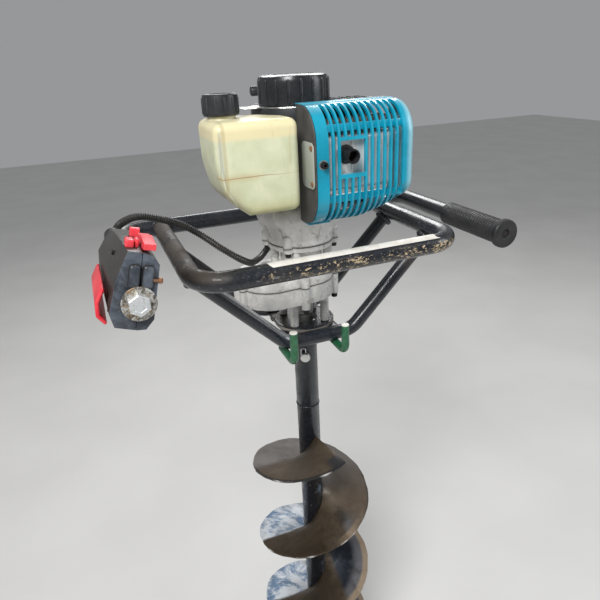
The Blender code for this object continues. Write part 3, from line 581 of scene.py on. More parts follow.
def flight_steel():
    """Earth and grey steel on the upper turns, blue and silver wear on the lower ones. The earth-brown front
    of each turn is a painted shadow of the turn above; the lower turns are painted as a lit copy on the left
    and a shaded navy copy on the right.
    """
    f = Finish("flight_steel", 0.45, 0.6)
    height = f.axis("Z")
    squares = [f.maths("POWER", f.axis(letter), 2) for letter in "XY"]
    across = f.maths("SQRT", f.maths("ADD", *squares))
    broad = f.noise(14, 7, 0.68, 0.5)
    patch = f.noise(34, 7, 0.72, 0.9)
    fine = f.noise(380, 5, 0.7)
    earth = f.blend(f.band(broad, 0.38, 0.66), (0.058, 0.042, 0.027), (0.092, 0.066, 0.042))
    earth = f.blend(f.band(patch, 0.58, 0.70, 0.0, 0.6), earth, (0.020, 0.016, 0.013))
    grey = f.blend(f.band(broad, 0.35, 0.7), (0.120, 0.108, 0.100), (0.20, 0.18, 0.165))
    depth = f.maths("ADD", f.axis("Y"), f.sway(broad, 0.020))
    # brown: the front of each turn, painted earth-brown as a painted shadow of the turn above; the back stays
    # grey steel
    brown = f.band(depth, 0.012, -0.012)
    upper = f.blend(brown, grey, earth)
    # on the right the same painted shadow runs as a soft grey to brown gradient from back to front
    smooth = f.blend(f.band(depth, 0.060, -0.050), (0.125, 0.110, 0.098), (0.085, 0.062, 0.042))
    upper = f.blend(f.band(f.axis("X"), 0.034, 0.050), upper, smooth)
    wavy = f.maths("ADD", height, f.sway(broad, 0.05))
    large = f.noise(20, 8, 0.74, 0.3)
    # bright is the lit copy of the lower turns' steel, a painted highlight; shadow below is its painted shade
    # copy
    bright = f.blend(f.band(large, 0.40, 0.54), (0.16, 0.24, 0.36), (0.66, 0.69, 0.72))
    shadow = f.blend(f.band(large, 0.44, 0.62), (0.018, 0.024, 0.036), (0.10, 0.11, 0.12))
    steel = f.blend(f.band(f.axis("X"), 0.030, -0.002), shadow, bright)
    # the front of the lower turns gets earth brown: a painted shadow of the turn above
    lower = f.blend(f.band(depth, 0.004, -0.006), steel, earth)
    # dark navy on the right of the lower turns is painted shade
    shaded_navy = f.blend(f.band(large, 0.46, 0.60), (0.014, 0.018, 0.027), (0.040, 0.045, 0.052))
    shaded_navy = f.blend(f.band(across, 0.066, 0.080), shaded_navy, (0.13, 0.13, 0.14))
    lower = f.blend(f.band(f.axis("X"), 0.020, 0.034), lower, shaded_navy)
    tan_rim = f.times(f.band(across, 0.086, 0.091), f.band(f.axis("X"), 0.000, 0.040))
    lower = f.blend(f.times(tan_rim, 0.8), lower, (0.36, 0.27, 0.18))
    f.colour(f.blend(f.band(wavy, -0.485, -0.505), upper, lower))
    rim = f.band(across, 0.0940, 0.0980)
    high_rim = f.band(height, -0.50, -0.46, 0.0, 0.90)
    f.lay(f.times(rim, high_rim, brown), (0.012, 0.012, 0.013))
    tip = f.times(f.band(f.axis("X"), -0.010, 0.004), f.band(height, -0.362, -0.352))
    f.lay(f.times(tip, f.band(across, 0.070, 0.080, 0.0, 0.95)), (0.012, 0.012, 0.014))
    edge = f.times(f.band(across, 0.0985, 0.0993), f.band(f.noise(60, 4), 0.35, 0.55))
    f.lay(edge, (0.60, 0.58, 0.55))
    f.metal(f.band(wavy, -0.48, -0.52, 0.25, 0.70))
    f.rough(f.band(patch, 0.3, 0.72, 0.32, 0.62))
    f.relief(fine, 0.16, 0.0003)
    f.relief(patch, 0.14, 0.0012)
    return f.material


def bit_paint():
    """Black paint on the bit tube, rubbed to blue-grey steel in patches on one side."""
    f = Finish("bit_paint", 0.26, 0.0, Coat_Weight=0.2, Coat_Roughness=0.15)
    patch = f.noise(34, 8, 0.74, 1.1)
    fine = f.noise(300, 5, 0.7)
    f.colour(f.blend(f.band(fine, 0.4, 0.7), (0.008, 0.010, 0.014), (0.022, 0.026, 0.034)))
    side = f.band(f.axis("X"), -0.004, 0.013)
    low = f.band(f.axis("Z"), -0.245, -0.290, 0.12, 1.0)
    worn = f.times(f.band(patch, 0.52, 0.62), side, low)
    f.lay(f.times(worn, 0.85), (0.24, 0.31, 0.40))
    mud = f.band(f.noise(48, 7, 0.7, 0.6), 0.60, 0.70, 0.0, 0.5)
    f.lay(f.times(mud, low), (0.13, 0.11, 0.085))
    dots = f.band(f.specks(75), 0.09, 0.05, 0.0, 0.7)
    f.lay(f.times(dots, f.band(patch, 0.5, 0.55)), (0.55, 0.44, 0.30))
    f.rough(f.band(patch, 0.3, 0.75, 0.20, 0.55))
    f.relief(fine, 0.15, 0.0003)
    f.relief(patch, 0.12, 0.0006)
    return f.material


def loop_paint():
    """The front loop's paint: brown dust on its left run, cream chips under the front bar."""
    f = Finish("loop_paint", 0.26, 0.0, Coat_Weight=0.15, Coat_Roughness=0.12)
    broad = f.noise(16, 7, 0.7, 0.5)
    fine = f.noise(240, 6, 0.72)
    f.colour(f.blend(f.band(fine, 0.35, 0.75), (0.008, 0.010, 0.014), (0.026, 0.030, 0.038)))
    left = f.band(f.axis("X"), -0.118, -0.172)
    upward = f.band(f.normal_axis("Z"), -0.15, 0.55)
    dusty = f.times(left, upward, f.band(broad, 0.30, 0.55, 0.25, 0.95))
    f.lay(dusty, (0.050, 0.038, 0.027))
    front = f.band(f.axis("Y"), -0.116, -0.124)
    middle = f.band(f.axis("X"), -0.115, -0.070)
    lower = f.times(f.band(f.normal_axis("Z"), 0.62, 0.30), f.band(f.normal_axis("Z"), -0.95, -0.55))
    zone = f.times(front, middle, lower)
    clumps = f.sway(f.noise(26, 3, 0.5), 0.35)
    chip = f.band(f.maths("ADD", f.noise(330, 6, 0.72, 0.4, (0.55, 1, 1)), clumps), 0.560, 0.590)
    f.lay(f.times(zone, chip, 0.9), (0.60, 0.46, 0.28))
    soil = f.times(f.band(broad, 0.45, 0.70, 0.0, 0.30), front, middle)
    f.lay(soil, (0.075, 0.060, 0.045))
    rubbed = f.times(f.band(f.noise(190, 4, 0.7, 0.2, (0.3, 1, 1)), 0.63, 0.68), 0.45)
    f.lay(rubbed, (0.34, 0.34, 0.34))
    f.rough(f.band(f.maths("ADD", broad, f.times(dusty, 0.5)), 0.40, 0.95, 0.18, 0.70))
    f.relief(chip, 0.25, 0.0004)
    f.relief(fine, 0.12, 0.0003)
    return f.material


def brace_paint():
    """The lower braces' paint: rubbed to bare bright steel along the top of the left leg."""
    f = Finish("brace_paint", 0.24, 0.0, Coat_Weight=0.15, Coat_Roughness=0.12)
    broad = f.noise(18, 6, 0.65, 0.4)
    fine = f.noise(260, 6, 0.7)
    f.colour(f.blend(f.band(fine, 0.35, 0.75), (0.009, 0.011, 0.016), (0.028, 0.032, 0.040)))
    f.lay(f.band(broad, 0.52, 0.75, 0.0, 0.45), (0.10, 0.075, 0.055))
    up = f.times(f.band(f.normal_axis("Z"), 0.45, 0.62), f.band(f.axis("X"), -0.040, -0.052))
    front = f.band(f.axis("Y"), 0.0, -0.03)
    bare = f.times(up, front, f.band(fine, 0.30, 0.50, 0.5, 1.0))
    f.lay(bare, (0.62, 0.63, 0.65))
    f.metal(f.times(bare, 0.9))
    f.rough(f.band(broad, 0.3, 0.8, 0.18, 0.55))
    f.relief(fine, 0.12, 0.0003)
    return f.material


def cover_skin():
    """Teal moulding with painted highlights along its top and its rounded end, and grime at the slots."""
    f = Finish("cover_skin", 0.30, 0.0, Coat_Weight=0.35, Coat_Roughness=0.12)
    broad = f.noise(20, 6, 0.62, 0.2)
    fine = f.noise(420, 4, 0.6)
    f.colour(f.blend(f.band(broad, 0.32, 0.72), (0.0, 0.270, 0.400), (0.004, 0.360, 0.520)))
    # paler along the top faces and the rounded right end: painted highlights
    top_highlight = f.band(f.normal_axis("Z"), 0.70, 0.98, 0.0, 0.25)
    end_highlight = f.band(f.axis("X"), 0.1005, 0.109, 0.0, 0.72)
    pale = f.maths("MAXIMUM", top_highlight, end_highlight)
    f.lay(pale, (0.42, 0.72, 0.80))
    f.lay(f.band(f.noise(75, 7, 0.74, 0.6), 0.57, 0.76, 0.0, 0.35), (0.03, 0.10, 0.11))
    f.rough(f.band(broad, 0.3, 0.75, 0.24, 0.46))
    f.relief(fine, 0.08, 0.0002)
    return f.material


def silencer_skin():
    """Bright pressed steel, smoked and streaked, with rust in patches."""
    f = Finish("silencer_skin", 0.34, 0.45)
    broad = f.noise(34, 6, 0.68, 0.5)
    streaks = f.noise(60, 5, 0.6, 0.2, (1, 1, 0.2))
    f.colour(f.blend(f.band(streaks, 0.35, 0.68), (0.66, 0.66, 0.64), (0.96, 0.96, 0.93)))
    f.lay(f.band(broad, 0.56, 0.74, 0.0, 0.50), (0.24, 0.15, 0.09))
    f.rough(f.band(broad, 0.3, 0.75, 0.30, 0.60))
    f.relief(f.noise(280, 4, 0.6), 0.18, 0.0003)
    return f.material


def bolt_soil(name, pale, dull, packed):
    """Zinc with pale dried soil packed on it."""
    f = Finish(name, 0.38, 0.7)
    patch = f.noise(170, 7, 0.72, 0.5)
    f.colour(f.blend(f.band(patch, 0.42, 0.58), pale, dull))
    f.lay(f.band(f.noise(120, 6, 0.7, 0.7), packed, packed + 0.07, 0.0, 0.9), (0.36, 0.25, 0.14))
    f.lay(f.band(f.specks(420), 0.24, 0.12, 0.0, 0.5), (0.16, 0.14, 0.12))
    f.rough(f.band(patch, 0.3, 0.7, 0.30, 0.70))
    f.relief(patch, 0.35, 0.0006)
    return f.material


def rust_spot():
    """Rust on the label's two screws."""
    f = Finish("rust_spot", 0.7, 0.2)
    patch = f.noise(700, 6, 0.7)
    f.colour(f.blend(f.band(patch, 0.4, 0.65), (0.20, 0.085, 0.035), (0.36, 0.20, 0.10)))
    f.relief(patch, 0.5, 0.0004)
    return f.material


def paper_strip():
    """Off-white tape, blank, with scuffed and dirty edges."""
    f = Finish("paper_strip", 0.45, 0.0, Coat_Weight=0.2, Coat_Roughness=0.3)
    patch = f.noise(60, 7, 0.7, 0.4)
    f.colour(f.blend(f.band(patch, 0.4, 0.7), (0.78, 0.75, 0.69), (0.62, 0.57, 0.50)))
    f.lay(f.band(f.noise(150, 7, 0.75, 0.6), 0.60, 0.72, 0.0, 0.5), (0.26, 0.19, 0.13))
    f.rough(f.band(patch, 0.3, 0.7, 0.40, 0.65))
    f.relief(f.noise(300, 3, 0.5), 0.1, 0.0002)
    return f.material


BLACK_PAINT = enamel("black_paint", (0.009, 0.011, 0.015))
LOOP_PAINT = loop_paint()
BRACE_PAINT = brace_paint()
GREEN_ENAMEL = enamel("green_enamel", (0.012, 0.085, 0.035), (0.20, 0.22, 0.15), 0.45, 0.3)
BLACK_PLASTIC = moulding("black_plastic", (0.013, 0.014, 0.016), (0.030, 0.032, 0.036), 0.40)
HANDLE_PLASTIC = handle_skin()
DUSTY_PLASTIC = moulding("dusty_plastic", (0.014, 0.014, 0.014), (0.040, 0.038, 0.034), 0.36,
                         (0.13, 0.115, 0.09), 0.6)
CUP_PLASTIC = moulding("cup_plastic", (0.009, 0.010, 0.012), (0.022, 0.024, 0.028), 0.24,
                       (0.09, 0.09, 0.08), 0.25)
RED_PLASTIC = moulding("red_plastic", (0.74, 0.018, 0.035), (0.92, 0.090, 0.110), 0.34, (0.30, 0.06, 0.05),
                       0.3)
RUBBER = moulding("rubber", (0.012, 0.012, 0.013), (0.028, 0.027, 0.027), 0.62)
GREY_SHEET = moulding("grey_sheet", (0.052, 0.050, 0.046), (0.095, 0.090, 0.082), 0.62, (0.16, 0.13, 0.10),
                      0.5)
LABEL_SKIN = moulding("label_skin", (0.40, 0.43, 0.37), (0.50, 0.52, 0.46), 0.5, (0.20, 0.19, 0.15), 0.5)
HOSE_SKIN = moulding("hose_skin", (0.42, 0.36, 0.17), (0.55, 0.48, 0.26), 0.3)
CAST_ALLOY = casting("cast_alloy", (0.62, 0.61, 0.58))
GEAR_ALLOY = casting("gear_alloy", (0.74, 0.73, 0.70), seams=(-0.0622, -0.0050))
DARK_ALLOY = casting("dark_alloy", (0.34, 0.31, 0.27))
STEEL = plated("steel")
BRIGHT_STEEL = plated("bright_steel", (0.80, 0.80, 0.78), 0.12, 0.22)
DARK_BOLT = plated("dark_bolt", (0.055, 0.055, 0.058), 0.35, 0.42)
COPPER_SCREW = plated("copper_screw", (0.55, 0.30, 0.18), 0.5, 0.4)
RUSTY_STEEL = plated("rusty_steel", (0.42, 0.36, 0.30), 0.85, 0.5)
TANK_SKIN = tank_skin()
COVER_SKIN = cover_skin()
FLIGHT_STEEL = flight_steel()
BIT_PAINT = bit_paint()
SILENCER_SKIN = silencer_skin()
BOLT_SOIL = bolt_soil("bolt_soil", (0.84, 0.86, 0.86), (0.62, 0.64, 0.64), 0.60)
WASHER_SOIL = bolt_soil("washer_soil", (0.70, 0.68, 0.63), (0.13, 0.115, 0.095), 0.53)
RUST_SPOT = rust_spot()
PAPER_STRIP = paper_strip()


# ---------------------------------------------------------------- conduit and hose

def flowing(route, pieces):
    """Smooth line through the route, a few points to each span."""
    route = [Vector(point) for point in route]
    ends = [2 * route[0] - route[1]] + route + [2 * route[-1] - route[-2]]
    points = []
    for a, b, c, d in zip(ends, ends[1:], ends[2:], ends[3:]):
        for piece in range(pieces):
            t = piece / pieces
            points.append(0.5 * (2 * b + (c - a) * t + (2 * a - 5 * b + 4 * c - d) * t * t
                                 + (3 * b - a - 3 * c + d) * t ** 3))
    points.append(route[-1])
    return points


def spaced(points, step):
    """Points at even distances along a line."""
    walked = [points[0].copy()]
    left = step
    for before, after in zip(points, points[1:]):
        span = after - before
        reach = span.length
        place = 0.0
        while reach - place >= left:
            place += left
            walked.append(before + span * (place / reach))
            left = step
        left -= reach - place
    return walked


def hose_line(name, points, widths, sides=16):
    """Tube through closely spaced points, its radius following the list of widths."""
    spline_data = bpy.data.curves.new(name, "CURVE")
    spline_data.dimensions = "3D"
    spline_data.bevel_depth = 1.0
    spline_data.bevel_resolution = max(0, (sides - 4) // 2)
    spline_data.use_fill_caps = True
    spline = spline_data.splines.new("POLY")
    spline.points.add(len(points) - 1)
    for slot, point, width in zip(spline.points, points, widths):
        slot.co = (*point, 1.0)
        slot.radius = width
    spline.use_smooth = True
    line = bpy.data.objects.new(name, spline_data)
    bpy.context.scene.collection.objects.link(line)
    hold(line)
    bpy.ops.object.convert(target="MESH")
    piece = bpy.context.object
    piece.name = name
    bpy.ops.object.mode_set(mode="EDIT")
    merge(0.00001)
    bpy.ops.mesh.normals_make_consistent(inside=False)
    close_edit()
    return shade(piece, 50)


CONDUIT_ROUTE = [(-0.252, -0.0455, 0.047), (-0.240, -0.025, 0.057), (-0.218, -0.010, 0.0595),
                 (-0.190, 0.000, 0.050), (-0.163, 0.006, 0.037), (-0.140, 0.000, 0.021),
                 (-0.119, -0.014, 0.004), (-0.098, -0.020, -0.012), (-0.080, -0.010, -0.025),
                 (-0.065, 0.014, -0.033), (-0.045, 0.040, -0.034), (-0.021, 0.062, -0.020),
                 (-0.004, 0.074, 0.008), (-0.002, 0.077, 0.043), (-0.001, 0.078, 0.078),
                 (0.012, 0.0765, 0.105), (0.0345, 0.074, 0.112)]
HOSE_ROUTE = [(-0.090, -0.0137, 0.100), (-0.090, 0.006, 0.101), (-0.082, 0.032, 0.103),
              (-0.058, 0.052, 0.101), (-0.025, 0.060, 0.094), (0.010, 0.060, 0.086), (0.038, 0.061, 0.081),
              (0.050, 0.063, 0.085), (0.052, 0.064, 0.0957)]


def throttle_conduit():
    """Corrugated conduit: a ridge every 3 mm."""
    points = spaced(flowing(CONDUIT_ROUTE, 24), 0.00075)
    shape = (0.0038, 0.0048, 0.0048, 0.0038)
    widths = [shape[number % 4] for number in range(len(points))]
    fit(hose_line("throttle_conduit_skin", points, widths, 14), DUSTY_PLASTIC, "frame", "black_plastic",
        "throttle_conduit")


def fuel_hose():
    points = spaced(flowing(HOSE_ROUTE, 12), 0.003)
    hose = hose_line("fuel_hose_skin", points, [0.0028] * len(points), 14)
    collars = [turned("hose_clip", [(0.0027, 0), (0.0035, 0), (0.0035, 0.004), (0.0027, 0.004)],
                      spot, way, 20, closed=True)
               for spot, way in ((points[2], points[3] - points[2]), (points[-4], points[-3] - points[-4]))]
    fit(hose, HOSE_SKIN, "frame", "tank_plastic", "fuel_hose")
    fit(join("hose_clips", collars), STEEL, "frame", "steel")


aim_camera()
throttle_conduit()
fuel_hose()


# ---------------------------------------------------------------- frame

def bead(name, centre, along, ring, thickness, turns=40):
    """Uneven weld bead round a tube."""
    clear()
    bpy.ops.mesh.primitive_torus_add(major_radius=ring, minor_radius=thickness, major_segments=64,
                                     minor_segments=10, location=(0, 0, 0))
    piece = settle(name)
    for vertex in piece.data.vertices:
        angle = math.atan2(vertex.co.y, vertex.co.x)
        swell = 1 + 0.18 * math.sin(angle * turns / 2) + 0.10 * math.sin(angle * 5 + 1)
        flat = Vector((vertex.co.x, vertex.co.y, 0)).normalized() * ring
        vertex.co = flat + (vertex.co - flat) * swell
    move(piece, turn=aim(along, centre))
    return shade(piece, 60)


def handlebar():
    """Rear bar with an arm to each hand, the left one rising towards the throttle."""
    corners = [LEFT_END, (-ARM_X, ARM_BREAK, 0), (-ARM_X, REAR_Y, 0), (ARM_X, REAR_Y, 0), (ARM_X, -0.136, 0)]
    tube = bent_tube("rear_handlebar_skin", corners, BEND, BAR_R)
    fit(tube, BLACK_PAINT, "frame", "black_paint", "rear_handlebar")


def front_loop():
    """Loop in front of the engine, welded to the rear bar."""
    end = REAR_Y - BAR_R + 0.0015
    corners = [(-LOOP_X, end, 0), (-LOOP_X, LOOP_Y, 0), (LOOP_X, LOOP_Y, 0), (LOOP_X, end, 0)]
    tube = bent_tube("front_loop_skin", corners, BEND, BAR_R, 40, 16)
    fit(tube, LOOP_PAINT, "frame", "black_paint", "front_loop_tube")
    beads = [bead("weld", (side * LOOP_X, end - 0.0015, 0), Y, BAR_R + 0.0006, 0.0022) for side in (-1, 1)]
    fit(join("loop_welds", beads), BLACK_PAINT, "frame", "black_paint")


def braces():
    """Two bent braces that hang the base plate under the loop."""
    lean = Vector((0.118, 0, -0.113)).normalized()
    for word, y in (("front", -0.060), ("rear", 0.060)):
        corners = [(-0.1745, y, -0.0085), (-0.050, y, BRACE_LOW), (0.050, y, BRACE_LOW), (0.1745, y, -0.0085)]
        tube = bent_tube(f"lower_brace_{word}_skin", corners, 0.032, BRACE_R)
        fit(tube, BRACE_PAINT, "frame", "black_paint", f"lower_brace_{word}")
        beads = []
        for side in (-1, 1):
            spot, way = (side * 0.1690, y, -0.0145), (side * -lean.x, 0, lean.z)
            beads.append(bead("weld", spot, way, BRACE_R + 0.0006, 0.0034))
        fit(join(f"brace_welds_{word}", beads), BLACK_PAINT, "frame", "black_paint")


def label_strip():
    """Blank tape wrapped over the top of the front bar."""
    clear()
    bpy.ops.mesh.primitive_cylinder_add(vertices=64, radius=BAR_R + 0.00025, depth=0.225,
                                        end_fill_type="NOTHING", location=(0.0275, LOOP_Y, 0),
                                        rotation=(0, math.pi / 2, 0))
    piece = settle("label_strip")
    pick(piece, "faces", lambda centre, normal: not 0.86 < math.atan2(centre.z, LOOP_Y - centre.y) < 1.95)
    bpy.ops.mesh.delete(type="FACE")
    bpy.ops.mesh.select_all(action="SELECT")
    bpy.ops.mesh.subdivide(number_cuts=3)
    close_edit()
    for vertex in piece.data.vertices:
        if vertex.co.x < -0.0849:
            vertex.co.x -= 0.006 * (vertex.co.z - 0.009) / 0.004
        if vertex.co.x > 0.1399:
            vertex.co.x += 0.004 * math.sin(vertex.co.z * 900)
    apply(piece, "SOLIDIFY", thickness=0.0002, offset=1.0)
    fit(shade(piece), PAPER_STRIP, "frame", "label")


def plate_and_disc():
    """Base plate between the braces, the disc under the gearbox and four bolts."""
    eased("base_plate", BLACK_PAINT, "frame", "black_paint", 0.0012, 3)
    rings = [(0.020, -0.1347), (0.0440, -0.1347), (0.0445, -0.1342), (0.0445, -0.1296), (0.0438, -0.1289),
             (0.0405, -0.1287), (0.0400, -0.1293), (0.020, -0.1293)]
    disc = turned("mount_disc_skin", rings, sides=72, closed=True)
    fit(disc, BLACK_PAINT, "frame", "black_paint", "mount_disc")
    rings = [(0.0443, -0.1342), (0.0448, -0.1338), (0.0448, -0.1300), (0.0443, -0.1296)]
    rim = turned("disc_rim", rings, sides=72, closed=True)
    fit(rim, DARK_ALLOY, "frame", "cast_alloy")
    heads = [hex_head("plate_bolt", 0.0065, 0.0045, (x, y, -0.1412), -Z)
             for y in (-0.040, 0.040) for x in (-0.033, 0.033)]
    fit(join("plate_bolts", heads), DARK_BOLT, "frame", "steel")


def hex_head(name, radius, height, at, along):
    """Hexagon head with a chamfered top on a thin washer face."""
    head = turned(name, [(radius, 0), (radius, height * 0.82), (radius * 0.86, height)], at, along, 6,
                  angle=20)
    wide, thick = radius * 1.18, height * 0.18
    face = turned(name + "_face", [(wide, 0), (wide, thick), (radius * 0.5, thick)], at, along, 28)
    return join(name, [head, face])


def socket_head(name, radius, height, at, along):
    """Cap screw with a hexagon socket."""
    rings = [(radius, 0), (radius, height * 0.85), (radius * 0.88, height), (radius * 0.58, height)]
    body = turned(name, rings, at, along, 28)
    return cut(body, turned("key", [(radius * 0.52, height * 0.45), (radius * 0.52, height * 1.4)], at,
                            along, 6))


def hooks():
    """Two green hooks of bent rod under the front brace, their tips cut bare."""
    for word, x in (("left", -0.051), ("right", 0.025)):
        reach = BRACE_LOW - BRACE_R - 0.0061
        top = -0.103 if word == "left" else -0.108
        corners = [(x, -0.092, top), (x, -0.092, reach), (x, -0.040, reach)]
        tube = bent_tube(f"hook_{word}_skin", corners, 0.013, 0.0055, 28, 10)
        fit(tube, GREEN_ENAMEL, "frame", "green_enamel", f"hook_{word}")
        tip = turned(f"hook_{word}_tip", [(0.0056, 0), (0.0056, 0.0003), (0.0051, 0.0012), (0.0030, 0.0015)],
                     (x, -0.092, top - 0.0005), Z, 28)
        fit(tip, PAPER_STRIP, "frame", "green_enamel")


def right_grip():
    """Rubber grip with rings moulded round it, a flared end and a round hole."""
    rings = [(0.0129, 0.0120), (0.0160, 0.0120), (0.0168, 0.0128)]
    for number in range(22):
        start = 0.016 + number * 0.0050
        rings += [(0.0168, start), (0.0163, start + 0.0006), (0.0163, start + 0.0012),
                  (0.0168, start + 0.0018)]
    rings += [(0.0168, 0.1285), (0.0185, 0.1310), (0.0197, 0.1330), (0.0198, 0.1360), (0.0194, 0.1390),
              (0.0186, 0.1400), (0.0072, 0.1400), (0.0062, 0.1392), (0.0060, 0.1363), (0.0129, 0.1363)]
    grip = turned("right_grip_skin", rings, (ARM_X, 0, 0), -Y, 48, closed=True, angle=28)
    fit(grip, RUBBER, "frame", "rubber", "right_grip")


handlebar()
front_loop()
braces()
label_strip()
plate_and_disc()
hooks()
right_grip()


# ---------------------------------------------------------------- throttle handle

SLOPE = (LEFT_END - Vector((-ARM_X, ARM_BREAK, 0))).normalized()


def arm_z(y):
    """Height of the left arm's middle line."""
    return LEFT_END.z * (ARM_BREAK - y) / (ARM_BREAK - LEFT_END.y)


def on_arm(side, y, height):
    """Place beside and above the left arm, in the handle's own leaning frame."""
    x = side * math.cos(ROLL) + height * math.sin(ROLL)
    z = height * math.cos(ROLL) - side * math.sin(ROLL)
    return Vector((-ARM_X + x, y, arm_z(y) + z))


def arm_way(side, height):
    """Direction square to the arm."""
    x = side * math.cos(ROLL) + height * math.sin(ROLL)
    z = height * math.cos(ROLL) - side * math.sin(ROLL)
    return Vector((x, 0, z)).normalized()


def throttle_housing():
    """Two shells round the arm's end, their screws, the clamp over the end and the conduit's collar."""
    for word in ("left", "right"):
        eased(f"throttle_housing_{word}", HANDLE_PLASTIC, "frame", "black_plastic", 0.0022, 3, 25)
    screws = []
    for y, height in ((-0.118, 0.032), (-0.142, 0.036), (-0.150, -0.012), (-0.186, -0.012)):
        spot = on_arm(-0.0262 if height < 0 else -0.0232, y, height)
        screws.append(turned("case_screw", [(0.0026, -0.004), (0.0026, 0.0004), (0.0020, 0.0006)], spot,
                             arm_way(-1, 0.1), 18))
    fit(join("case_screws", screws), DARK_BOLT, "frame", "steel")
    ears = []
    for side in (-0.0063, 0.0063):
        ear = soften(block("ear", (-0.0054, -0.0062, -0.0120), (0.0054, 0.0030, 0.0115)), 0.0034, 4)
        ears.append(move(ear, on_arm(side, -0.1962, 0.0262), Matrix.Rotation(ROLL, 4, "Y")))
    fit(join("clamp_ears", ears), HANDLE_PLASTIC, "frame", "black_plastic")
    rings = [(0.0016, -0.004), (0.0016, 0.010), (0.0030, 0.010), (0.0030, 0.0130), (0.0022, 0.0138)]
    screw = turned("clamp_screw_skin", rings, on_arm(0.0066, -0.1990, 0.0230), arm_way(1, 0), 20)
    fit(screw, COPPER_SCREW, "frame", "steel")
    rings = [(0.0062, 0), (0.0098, 0), (0.0098, 0.010), (0.0088, 0.012), (0.0062, 0.012)]
    collar = turned("cable_collar", rings, Vector((-0.252, -0.0492, 0.0455)),
                    Vector((0.10, 0.9, 0.42)).normalized(), 32, closed=True)
    fit(collar, BLACK_PLASTIC, "frame", "black_plastic")


def end_bolt():
    """Large washer and bolt that close the arm's end."""
    spot = LEFT_END + SLOPE * 0.0003
    rings = [(0.0058, 0.0000), (0.0168, 0.0000), (0.0170, 0.0003), (0.0170, 0.0016), (0.0166, 0.0020),
             (0.0058, 0.0020)]
    washer = turned("bar_end_washer_skin", rings, spot, SLOPE, 56, closed=True)
    fit(washer, WASHER_SOIL, "frame", "steel", "bar_end_washer")
    base = LEFT_END + SLOPE * 0.0024
    rings = [(0.0112, 0), (0.0112, 0.0058), (0.0100, 0.0068), (0.0070, 0.0070), (0.0060, 0.0066)]
    head = turned("bar_end_bolt_skin", rings, base, SLOPE, 6, angle=20)
    fit(head, BOLT_SOIL, "frame", "steel", "bar_end_bolt")


def red_controls():
    """Trigger, its lock with a fixed catch beside it, and the stop switch."""
    eased("throttle_trigger", RED_PLASTIC, "trigger", "red_plastic", 0.0026, 4, 25)
    lock = traced("throttle_lock", "throttle_lock_skin")
    slice_off(lock, on_arm(0.010, -0.160, 0.0585), arm_way(0, 1))
    soften(lock, 0.0016, 3, 20)
    fit(lock, RED_PLASTIC, "lock", "red_plastic", "throttle_lock")
    lug = soften(block("lug", (-0.0150, -0.0070, 0.0492), (-0.0068, 0.0070, 0.0572)), 0.0016, 3)
    tab = soften(block("tab", (-0.0060, -0.0040, 0.0492), (-0.0022, 0.0060, 0.0580)), 0.0012, 3)
    for piece in (lug, tab):
        move(piece, Vector((-ARM_X, -0.172, arm_z(-0.172))), Matrix.Rotation(ROLL, 4, "Y"))
    fit(join("lock_catch", [lug, tab]), RED_PLASTIC, "frame", "red_plastic")
    eased("kill_switch", RED_PLASTIC, "switch", "red_plastic", 0.0010, 3, 20)


throttle_housing()
end_bolt()
red_controls()


# ---------------------------------------------------------------- cover and silencer

LEFT, RIGHT, FRONT, TOP, LOW = -0.017, 0.1155, -0.112, 0.180, 0.038
RIBS = [-0.002, 0.0045, 0.0122, 0.0206, 0.0294, 0.0382, 0.0470, 0.0555, 0.0640, 0.0725, 0.0808, 0.0890,
        0.0970]


def deep_d(name, low, high, round_edge, round_end):
    """Block whose front edges are rolled back and whose right end is rounded."""
    near = 0.001
    piece = block(name, low, high)
    round_edges(piece, lambda c, d: abs(d.x) > 0.9 and c.y < low[1] + near, round_edge, 14)
    round_edges(piece, lambda c, d: c.x > high[0] - near and abs(d.x) < 0.1 and c.y < high[1] - near / 2,
                round_end, 6)
    return piece


def climb(piece):
    """Raise the lower half towards the right end, as the moulding's foot does."""
    start, run, rise, still = 0.050, 0.054, 0.020, 0.100
    for x in (start, 0.082):
        pick(piece, "faces", everything)
        bpy.ops.mesh.bisect(plane_co=(x, 0, 0), plane_no=(1, 0, 0))
        close_edit()
    for vertex in piece.data.vertices:
        if vertex.co.x > start + 0.0001 and vertex.co.z < still:
            part = min(1, (vertex.co.x - start) / run)
            vertex.co.z += rise * part ** 1.5 * (still - vertex.co.z) / (still - LOW)


